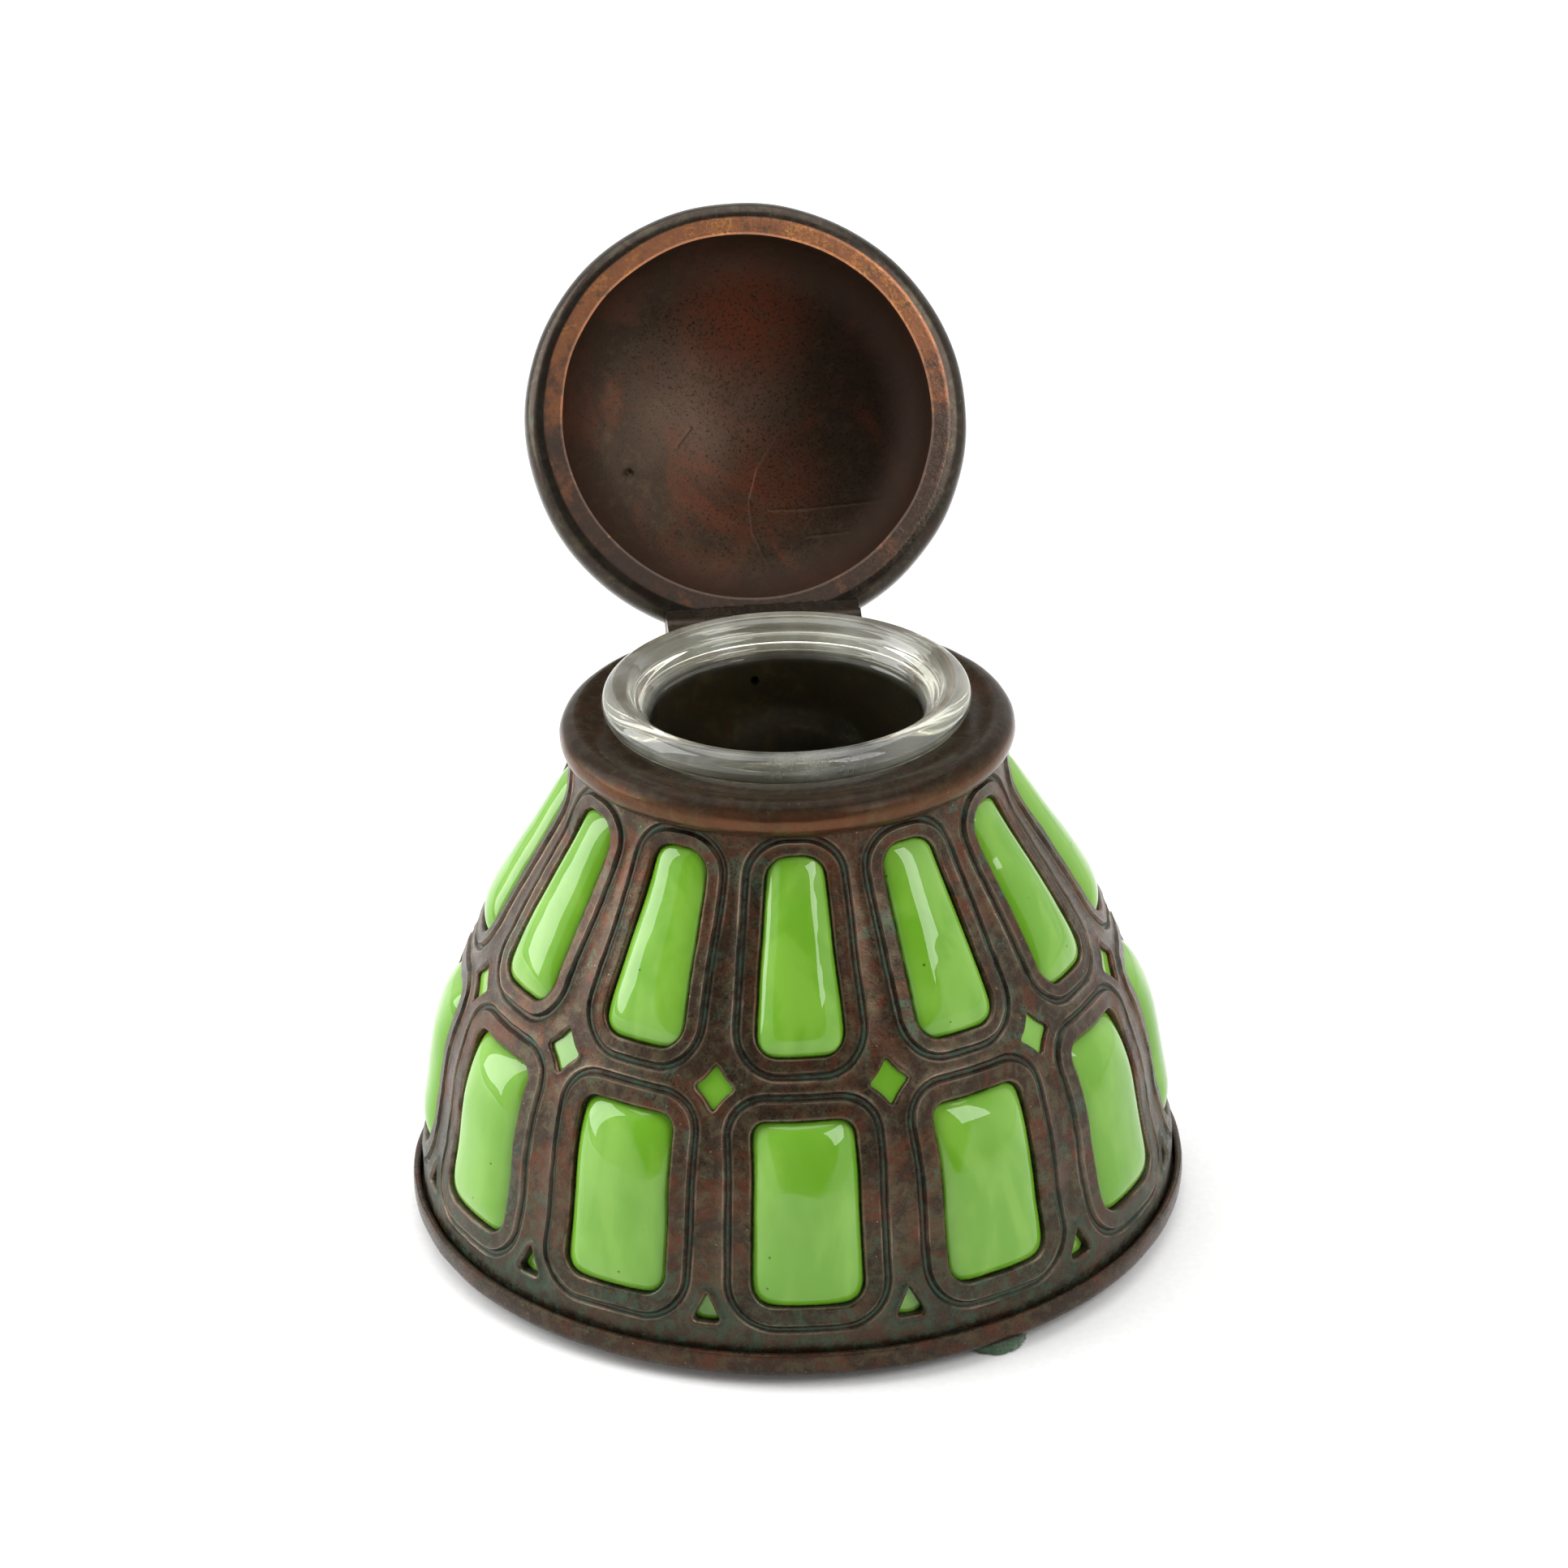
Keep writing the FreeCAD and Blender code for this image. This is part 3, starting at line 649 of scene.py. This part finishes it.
def make_felt(name, low, high, seed):
    # a cut disc of felt: soft uneven edge, fibres standing out of it
    rng = np.random.default_rng(seed)
    x, y = (low.x + high.x) / 2 / MM, (low.y + high.y) / 2 / MM
    top = high.z / MM - 0.03
    profile = rounded_line([(0, 0.03), (PAD_R - 0.12, 0.03), (PAD_R - 0.12, top), (0, top)], [0.3, 0.25], 0.22)

    def ragged(points, _):
        r = np.hypot(points[:, 0], points[:, 1])
        depth = (0.10 * wobble(points, 1.6, seed) + 0.12 * wobble(points, 5, seed + 1) - 0.12) * \
            smoothstep(r, 2.5, 4.2)
        return points + outward(points) * depth[:, None] + (x, y, 0)
    disc = lathe(name, profile, 160, False, ragged, 80)
    points, faces = [], []
    for _ in range(700):
        a, height = rng.uniform(0, 2 * math.pi), rng.uniform(0.1, top - 0.1)
        out = np.array([math.cos(a), math.sin(a), 0])
        side = np.array([-math.sin(a), math.cos(a), 0])
        start = np.array([x, y, height]) + out * (PAD_R - 0.35)
        reach = out * rng.uniform(0.15, 0.32) + side * rng.uniform(-0.5, 0.5) + (0, 0, rng.uniform(-0.25, 0.25))
        middle, end = start + reach * 0.6 + side * rng.uniform(-0.15, 0.15), start + reach * 1.3
        end[2], middle[2] = np.clip([end[2], middle[2]], 0.03, top)
        wide = np.array([0, 0, 0.022])
        first = len(points)
        points += [start - wide, start + wide, middle + wide * 0.8, middle - wide * 0.8, end]
        faces += [(first, first + 1, first + 2, first + 3), (first + 3, first + 2, first + 4)]
    fuzz = make_object(name + "_fuzz", points, faces, weld=False)
    fuzz.parent = disc
    return disc, fuzz


# ---------------------------------------------------------------- materials

class Shader:
    # a material with one Principled surface, and short calls for the nodes used here
    def __init__(self, name, **sockets):
        self.material = bpy.data.materials.new(name)
        self.material.use_nodes = True
        self.tree = self.material.node_tree
        self.surface = self.tree.nodes["Principled BSDF"]
        self.where = self.tree.nodes.new("ShaderNodeTexCoord").outputs["Object"]
        for key, value in sockets.items():
            self.set(key.replace("_", " "), value)

    def set(self, socket, value):
        self.fill(self.surface.inputs[socket], value)

    def fill(self, socket, value):
        if isinstance(value, bpy.types.NodeSocket):
            self.tree.links.new(value, socket)
        elif socket.type == "RGBA":
            socket.default_value = (*value, 1)
        else:
            socket.default_value = value

    def node(self, kind, inputs, **settings):
        node = self.tree.nodes.new("ShaderNode" + kind)
        for key, value in settings.items():
            setattr(node, key, value)
        for key, value in inputs.items():
            self.fill(node.inputs[key], value)
        return node

    def noise(self, size, detail=3.0, rough=0.55, warp=0.0, stretch=(1, 1, 1), shift=0.0):
        # size is the patch size in millimetres
        spot = self.node("Mapping", {"Vector": self.where, "Location": (shift, 0.7 * shift, -shift),
                                     "Scale": stretch}).outputs[0]
        return self.node("TexNoise", {"Vector": spot, "Scale": 1 / (size * MM), "Detail": detail,
                                      "Roughness": rough, "Distortion": warp}).outputs[0]

    def specks(self, size, shift=0.0):
        # distance to scattered points about size millimetres apart, as a share of size
        spot = self.node("Mapping", {"Vector": self.where, "Location": (shift, shift, shift)}).outputs[0]
        return self.node("TexVoronoi", {"Vector": spot, "Scale": 1 / (size * MM)}).outputs["Distance"]

    def ramp(self, value, low, high, first=0.0, last=1.0):
        return self.node("MapRange", {"Value": value, "From Min": low, "From Max": high, "To Min": first,
                                      "To Max": last}, interpolation_type="SMOOTHSTEP").outputs[0]

    def math(self, kind, a, b):
        return self.node("Math", {0: a, 1: b}, operation=kind).outputs[0]

    def mix(self, amount, a, b):
        return self.node("Mix", {0: amount, 6: a, 7: b}, data_type="RGBA").outputs[2]

    def attribute(self, name):
        return self.node("Attribute", {}, attribute_name=name).outputs["Fac"]

    def height(self):
        return self.node("SeparateXYZ", {0: self.where}).outputs[2]

    def bump(self, height, strength, depth, under=None):
        inputs = {"Height": height, "Strength": strength, "Distance": depth * MM}
        if under:
            inputs["Normal"] = under
        return self.node("Bump", inputs).outputs[0]


DARK, RED, OLIVE = (0.032, 0.020, 0.012), (0.088, 0.030, 0.013), (0.074, 0.055, 0.028)
BLACK, VERDIGRIS, WORN = (0.006, 0.005, 0.004), (0.046, 0.096, 0.060), (0.36, 0.26, 0.18)


def patinated(s, red, green):
    # colour of old patinated bronze: dark and red-brown patches, mottling, grain, verdigris and pale specks;
    # red and green set how much of each shows
    tone = s.ramp(s.noise(8, 6, 0.70, 0.8), 0.63 - 0.3 * red, 0.80 - 0.3 * red)
    mottle = s.noise(2.0, 6, 0.74, 0.4, shift=0.31)
    grain = s.noise(0.42, 4, 0.75, shift=0.17)
    colour = s.mix(tone, DARK, RED)
    colour = s.mix(s.ramp(mottle, 0.44, 0.64), colour, OLIVE)
    colour = s.mix(s.ramp(mottle, 0.46, 0.32, 0, 0.7), colour, RED)
    colour = s.mix(s.ramp(grain, 0.45, 0.31, 0, 0.6), colour, BLACK)
    bloom = s.ramp(s.noise(5.5, 6, 0.74, 0.5, shift=0.57), 0.66 - 0.2 * green, 0.76 - 0.18 * green)
    bloom = s.math("MULTIPLY", bloom, s.ramp(grain, 0.38, 0.56))
    colour = s.mix(s.math("MULTIPLY", bloom, 0.8 * min(1.0, green + 0.3)), colour, VERDIGRIS)
    pale = s.math("MULTIPLY", s.ramp(s.specks(1.9, 0.3), 0.075, 0.045), 0.5)
    return s.mix(pale, colour, (0.30, 0.26, 0.19)), mottle, grain


def pitted(s, mottle, grain, strength):
    soft = s.bump(mottle, 0.35 * strength, 0.25)
    return s.bump(grain, 0.45 * strength, 0.10, soft)


def cage_bronze():
    s = Shader("patinated_bronze", Metallic=0.55, Specular_IOR_Level=0.32)
    colour, mottle, grain = patinated(s, 0.62, 0.60)
    groove, ridge, rim = s.attribute("groove"), s.attribute("ridge"), s.attribute("rim")
    chased = s.attribute("chased")
    low = s.ramp(s.height(), 0.024, 0.006)
    crust = s.math("MULTIPLY", groove, s.ramp(s.noise(1.8, 5, 0.75, shift=0.9), 0.44, 0.60))
    film = s.ramp(s.noise(1.5, 7, 0.8, 0.3, shift=1.3), 0.47, 0.62, 0, 0.85)
    crust = s.math("MAXIMUM", crust, s.math("MULTIPLY", low, film))
    colour = s.mix(s.math("MULTIPLY", low, 0.5), colour, (0.030, 0.026, 0.017))
    colour = s.mix(s.math("MULTIPLY", groove, 0.5), colour, (0.036, 0.038, 0.029))
    colour = s.mix(s.math("MULTIPLY", crust, 0.75), colour, VERDIGRIS)
    colour = s.mix(s.math("MULTIPLY", chased, 0.62), colour, BLACK)
    rubbed = s.math("MAXIMUM", ridge, s.math("MULTIPLY", rim, 0.9))
    rubbed = s.math("MULTIPLY", rubbed, s.ramp(s.noise(9, 4, 0.6, shift=0.4), 0.40, 0.62))
    colour = s.mix(s.math("MULTIPLY", rubbed, 0.42), colour, WORN)
    s.set("Base Color", colour)
    rough = s.math("ADD", s.ramp(grain, 0.3, 0.7, 0.24, 0.42), s.math("MULTIPLY", crust, 0.30))
    s.set("Roughness", s.math("SUBTRACT", rough, s.math("MULTIPLY", rubbed, 0.06)))
    s.set("Normal", pitted(s, mottle, grain, 0.8))
    return s.material


def smooth_bronze(name, red, green, rough, strength, dark):
    s = Shader(name, Metallic=0.55, Specular_IOR_Level=0.28)
    colour, mottle, grain = patinated(s, red, green)
    s.set("Base Color", s.mix(dark, colour, (0.012, 0.009, 0.007)))
    s.set("Roughness", s.ramp(grain, 0.3, 0.7, rough - 0.08, rough + 0.10))
    s.set("Normal", pitted(s, mottle, grain, strength))
    return s.material


def collar_bronze():
    # black on top, redder where the bead turns over
    s = Shader("collar_bronze", Specular_IOR_Level=0.05)
    colour, mottle, grain = patinated(s, 0.5, 0.12)
    bead_side = s.mix(0.5, colour, (0.140, 0.066, 0.034))
    top_side = s.mix(0.70, colour, (0.012, 0.009, 0.006))
    top = s.ramp(s.height(), 0.0700, 0.0718)
    s.set("Base Color", s.mix(top, bead_side, top_side))
    s.set("Metallic", s.ramp(top, 0, 1, 0.70, 0.08))
    s.set("Roughness", s.ramp(grain, 0.3, 0.7, 0.14, 0.28))
    s.set("Normal", pitted(s, mottle, grain, 0.3))
    return s.material


def lid_bronze():
    # dark outside; red-brown hollow with painted shade towards its right and at its edge and a painted sheen
    # near its middle; copper on the flat rim, its bright spots worn copper and painted highlights
    s = Shader("lid_bronze", Specular_IOR_Level=0.10)
    shell, mottle, grain = patinated(s, 0.15, 0.35)
    shell = s.mix(0.45, shell, (0.040, 0.039, 0.037))
    rise = s.ramp(s.height(), 0.084, 0.116)
    cloud = s.noise(17, 6, 0.62, 0.9, shift=0.2)
    warm = s.mix(s.ramp(cloud, 0.46, 0.66), (0.028, 0.017, 0.010), (0.078, 0.026, 0.013))
    # the first spot, pale grey-brown and left of the middle, is a painted sheen; the two red spots are patina
    for place, reach, amount, colour in (((-0.003, 0.054, 0.097), 0.016, 0.80, (0.118, 0.070, 0.049)),
                                         ((0.001, 0.060, 0.105), 0.013, 0.75, (0.120, 0.028, 0.012)),
                                         ((0.004, 0.050, 0.084), 0.010, 0.60, (0.090, 0.026, 0.012))):
        away = s.node("VectorMath", {0: s.where, 1: place}, operation="DISTANCE").outputs["Value"]
        away = s.math("ADD", away, s.math("MULTIPLY", s.math("SUBTRACT", cloud, 0.5), 0.5 * reach))
        warm = s.mix(s.ramp(away, reach, 0.1 * reach, 0, amount), warm, colour)
    warm = s.mix(s.ramp(mottle, 0.46, 0.66, 0, 0.6), warm, (0.050, 0.034, 0.019))
    warm = s.mix(s.ramp(grain, 0.48, 0.34, 0, 0.8), warm, BLACK)
    # painted shade: the hollow darkens towards its right side
    across = s.node("SeparateXYZ", {0: s.where}).outputs[0]
    warm = s.mix(s.ramp(across, 0.002, 0.022, 0, 0.75), warm, (0.010, 0.005, 0.003))
    ring, hollow, hollow_rim_shade = s.attribute("ring"), s.attribute("hollow"), s.attribute("hollow_rim_shade")
    # painted shade: the hollow darkens towards its edge
    warm = s.mix(s.math("MULTIPLY", hollow_rim_shade, 0.6), warm, (0.030, 0.014, 0.008))
    patch = s.math("ADD", s.noise(4.5, 6, 0.76, shift=0.77), s.math("MULTIPLY", rise, 0.30))
    patch = s.math("SUBTRACT", patch, 0.05)
    copper = s.mix(s.ramp(patch, 0.44, 0.74), (0.135, 0.096, 0.077), (0.420, 0.180, 0.094))
    # bright orange spots, more of them towards the top: worn copper and painted highlights
    glint_and_wear = s.math("ADD", s.noise(6.5, 5, 0.75, 0.3, shift=0.12), s.math("MULTIPLY", rise, 0.10))
    bright = s.math("MULTIPLY", s.ramp(glint_and_wear, 0.59, 0.68), s.ramp(grain, 0.4, 0.6))
    copper = s.mix(bright, copper, (0.62, 0.27, 0.10))
    copper = s.mix(s.ramp(s.noise(7, 5, 0.75, shift=0.5), 0.58, 0.68, 0, 0.7), copper, VERDIGRIS)
    colour = s.mix(hollow, shell, warm)
    colour = s.mix(ring, colour, copper)
    s.set("Base Color", colour)
    s.set("Metallic", s.math("SUBTRACT", s.ramp(hollow, 0, 1, 0.7, 0.5), s.math("MULTIPLY", hollow_rim_shade, 0.3)))
    rough = s.math("ADD", s.ramp(grain, 0.3, 0.7, 0.13, 0.25), s.math("MULTIPLY", hollow, 0.16))
    s.set("Roughness", s.math("ADD", rough, s.math("MULTIPLY", hollow_rim_shade, 0.25)))
    s.set("Normal", pitted(s, mottle, grain, 0.4))
    return s.material


def well_metal():
    s = Shader("ink_dark_metal", Metallic=0.3, Specular_IOR_Level=0.3)
    colour, mottle, grain = patinated(s, 0.2, 0.1)
    stain = s.ramp(s.noise(9, 4, 0.6, 0.6, shift=0.8), 0.40, 0.68)
    s.set("Base Color", s.mix(stain, (0.044, 0.034, 0.025), s.mix(0.4, colour, (0.100, 0.064, 0.044))))
    s.set("Roughness", s.ramp(grain, 0.3, 0.7, 0.45, 0.65))
    s.set("Normal", pitted(s, mottle, grain, 0.8))
    return s.material


def green_glass():
    # opaque blown glass: bright green with slow milky streaks, with painted shade where it dives under the
    # metal
    s = Shader("green_opal_glass", Roughness=0.025, IOR=1.5)
    streak = s.noise(5.5, 3, 0.5, 0.5, (1, 1, 0.28), 0.1)
    cloud = s.noise(15, 2, 0.5, 0.4, shift=0.6)
    colour = s.mix(s.ramp(streak, 0.42, 0.66), (0.128, 0.325, 0.018), (0.172, 0.380, 0.036))
    colour = s.mix(s.ramp(cloud, 0.45, 0.70, 0, 0.55), colour, (0.208, 0.420, 0.062))
    # painted shade: a darker green along the window edges
    glass_edge_shade = s.attribute("glass_edge_shade")
    glass_edge_shade = s.math("ADD", glass_edge_shade, s.ramp(s.noise(2.4, 4, 0.7, shift=0.4), 0.3, 0.7, -0.14, 0.14))
    colour = s.mix(s.ramp(glass_edge_shade, 0.35, 1.0), colour, (0.022, 0.075, 0.006))
    grit = s.math("MULTIPLY", s.ramp(s.specks(4.6, 0.7), 0.050, 0.030), 0.8)
    s.set("Base Color", s.mix(grit, colour, (0.02, 0.05, 0.01)))
    s.set("Normal", s.bump(s.noise(2.8, 2, 0.5), 0.16, 0.05))
    return s.material


def clear_glass():
    # clear, a little milky in the flange, with a scuffed patch on the front of it
    s = Shader("pressed_clear_glass", IOR=1.5)
    cloud = s.ramp(s.noise(11, 2, 0.5), 0.3, 0.7)
    s.set("Base Color", s.mix(cloud, (0.94, 0.94, 0.76), (0.97, 0.97, 0.87)))
    milk = s.math("MULTIPLY", s.attribute("flange"),
                  s.ramp(s.noise(8, 3, 0.6, shift=0.5), 0.35, 0.65, 0.06, 0.15))
    s.set("Transmission Weight", s.math("SUBTRACT", 1.0, milk))
    grain = s.noise(0.35, 3, 0.7, shift=0.2)
    parts = s.node("SeparateXYZ", {0: s.where}).outputs
    front = s.math("MULTIPLY", s.ramp(parts[1], -0.0205, -0.0232), s.ramp(parts[2], 0.0724, 0.0738))
    front = s.math("MULTIPLY", front, s.ramp(parts[0], 0.013, 0.006))
    front = s.math("MULTIPLY", front, s.ramp(parts[0], -0.008, -0.003))
    ground = s.math("MULTIPLY", front, s.ramp(s.noise(2.4, 5, 0.75, shift=0.3), 0.40, 0.52))
    s.set("Roughness", s.math("ADD", s.ramp(grain, 0.3, 0.7, 0.0, 0.006), s.math("MULTIPLY", ground, 0.32)))
    s.set("Normal", s.bump(s.noise(12, 1, 0.5), 0.04, 0.05))
    return s.material


def green_felt():
    s = Shader("green_felt", Roughness=0.95, Sheen_Weight=0.5, Sheen_Roughness=0.5)
    tuft = s.noise(0.45, 5, 0.75)
    colour = s.mix(s.ramp(tuft, 0.35, 0.68), (0.020, 0.055, 0.020), (0.062, 0.130, 0.055))
    s.set("Base Color", s.mix(s.ramp(s.noise(3, 3), 0.5, 0.7, 0, 0.5), colour, (0.06, 0.10, 0.055)))
    s.set("Normal", s.bump(tuft, 0.8, 0.25))
    return s.material


def brass(name, colour, worn, rough):
    s = Shader(name, Metallic=0.9)
    dull = s.ramp(s.noise(1.4, 5, 0.7), 0.38, 0.62)
    s.set("Base Color", s.mix(dull, colour, worn))
    s.set("Roughness", s.ramp(s.noise(0.5, 3, 0.6, shift=0.4), 0.3, 0.7, rough - 0.08, rough + 0.12))
    s.set("Normal", s.bump(s.noise(0.6, 3, 0.6, stretch=(0.2, 1, 1)), 0.3, 0.05))
    return s.material


def paper():
    s = Shader("white_paper", Roughness=0.9, Emission_Color=(1, 1, 1), Emission_Strength=0.03)
    fibre = s.noise(1.1, 4, 0.7)
    s.set("Base Color", s.mix(s.ramp(fibre, 0.3, 0.7), (0.86, 0.86, 0.855), (0.90, 0.90, 0.90)))
    s.set("Normal", s.bump(fibre, 0.25, 0.12))
    return s.material


def dress(piece, material, body=None, replaces=None):
    # give a piece its material, hang it on the body it rides on, and hide the CAD node it stands for
    piece.data.materials.clear()
    piece.data.materials.append(material)
    if body:
        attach(piece, body)
    if replaces:
        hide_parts(replaces)
    return piece


# ---------------------------------------------------------------- light and floor

def softbox(name, azimuth, elevation, distance, width, height, radiance):
    # a plain rectangular light aimed at the middle of the object
    data = bpy.data.lights.new(name, "AREA")
    data.shape, data.size, data.size_y = "RECTANGLE", width, height
    data.energy = radiance * math.pi * width * height
    light = bpy.data.objects.new(name, data)
    bpy.context.scene.collection.objects.link(light)
    a, e = math.radians(azimuth), math.radians(elevation)
    way = Vector((math.cos(a) * math.cos(e), math.sin(a) * math.cos(e), math.sin(e)))
    light.location = Vector((0, 0, 0.05)) + way * distance
    light.rotation_euler = way.to_track_quat("Z", "Y").to_euler()


def make_world():
    # white to the eye; as light, a white tent with a dark opening on the side the front faces
    world = bpy.data.worlds.new("studio")
    bpy.context.scene.world = world
    world.use_nodes = True
    nodes, links = world.node_tree.nodes, world.node_tree.links
    shade = nodes["Background"]
    way = nodes.new("ShaderNodeSeparateXYZ")
    coordinates = nodes.new("ShaderNodeTexCoord").outputs["Generated"]
    links.new(coordinates, way.inputs[0])

    def ramp(value, low, high, first, last):
        n = nodes.new("ShaderNodeMapRange")
        n.interpolation_type = "SMOOTHSTEP"
        links.new(value, n.inputs["Value"])
        for key, number in (("From Min", low), ("From Max", high), ("To Min", first), ("To Max", last)):
            n.inputs[key].default_value = number
        return n.outputs[0]
    toward = nodes.new("ShaderNodeVectorMath")
    toward.operation = "DOT_PRODUCT"
    toward.inputs[1].default_value = (-0.07, -0.80, 0.60)
    links.new(coordinates, toward.inputs[0])
    room = ramp(toward.outputs["Value"], 0.80, 0.72, 0.10, 1.1)
    high = ramp(way.outputs[2], 0.35, 0.95, 1.0, 0.55)
    product = nodes.new("ShaderNodeMath")
    product.operation = "MULTIPLY"
    links.new(room, product.inputs[0])
    links.new(high, product.inputs[1])
    eye = nodes.new("ShaderNodeMix")
    links.new(nodes.new("ShaderNodeLightPath").outputs["Is Camera Ray"], eye.inputs[0])
    links.new(product.outputs[0], eye.inputs[2])
    eye.inputs[3].default_value = 1.0
    links.new(eye.outputs[0], shade.inputs["Strength"])
    shade.inputs["Color"].default_value = (1, 1, 1, 1)


def make_floor():
    mesh = bpy.data.meshes.new("floor")
    mesh.from_pydata([(-3, -0.5, 0), (3, -0.5, 0), (3, 3, 0), (-3, 3, 0)], [], [(0, 1, 2, 3)])
    floor = bpy.data.objects.new("floor", mesh)
    bpy.context.scene.collection.objects.link(floor)
    dress(floor, paper())


# ---------------------------------------------------------------- the scene

make_camera()
nodes = frame["nodes"]

dress(make_cage(), cage_bronze(), "body", "cage")
dress(make_green_glass(), green_glass(), "body", "blown_glass")
dress(make_dish(), smooth_bronze("rim_bronze", 0.6, 0.35, 0.28, 0.6, 0.22), "body", "base_dish")
dress(make_collar(), collar_bronze(), "body", "collar")
dress(make_liner(), clear_glass(), "liner", "ink_liner")
dress(make_lid(), lid_bronze(), "lid", "lid")

felt = green_felt()
for n in range(PADS):
    node = "felt_pad_%d" % (n + 1)
    disc, fuzz = make_felt("felt_disc_%d" % (n + 1), *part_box(node), 60 + n)
    dress(disc, felt, "body", node)
    dress(fuzz, felt, None)

dress(nodes["well_cup"], well_metal())
# painted shade: this bronze is darkened well over half way to near black, on the hinge leaves and on the screw
# lugs that share it
shaded_leaf_metal = smooth_bronze("hinge_bronze_painted_shade", 0.3, 0.2, 0.36, 0.6, 0.6)
dress(nodes["hinge_leaf_collar"], shaded_leaf_metal)
dress(nodes["hinge_leaf_lid"], shaded_leaf_metal)
bare = brass("hinge_pin_metal", (0.30, 0.20, 0.12), (0.55, 0.42, 0.27), 0.32)
dress(nodes["hinge_pin"], bare)
screw_metal = brass("screw_brass", (0.34, 0.22, 0.10), (0.60, 0.43, 0.20), 0.35)
dress(nodes["base_screws"], screw_metal)
for n in range(SCREWS):
    dress(nodes["screw_lug_%d" % (n + 1)], shaded_leaf_metal)

make_world()
softbox("left_softbox", azimuth=168, elevation=28, distance=0.95, width=0.65, height=0.9, radiance=4.8)
softbox("right_softbox", azimuth=-45, elevation=44, distance=1.05, width=0.45, height=0.6, radiance=5.4)
softbox("top_softbox", azimuth=90, elevation=75, distance=1.0, width=1.0, height=0.9, radiance=2.3)
make_floor()
bpy.context.scene.view_settings.view_transform = "Standard"
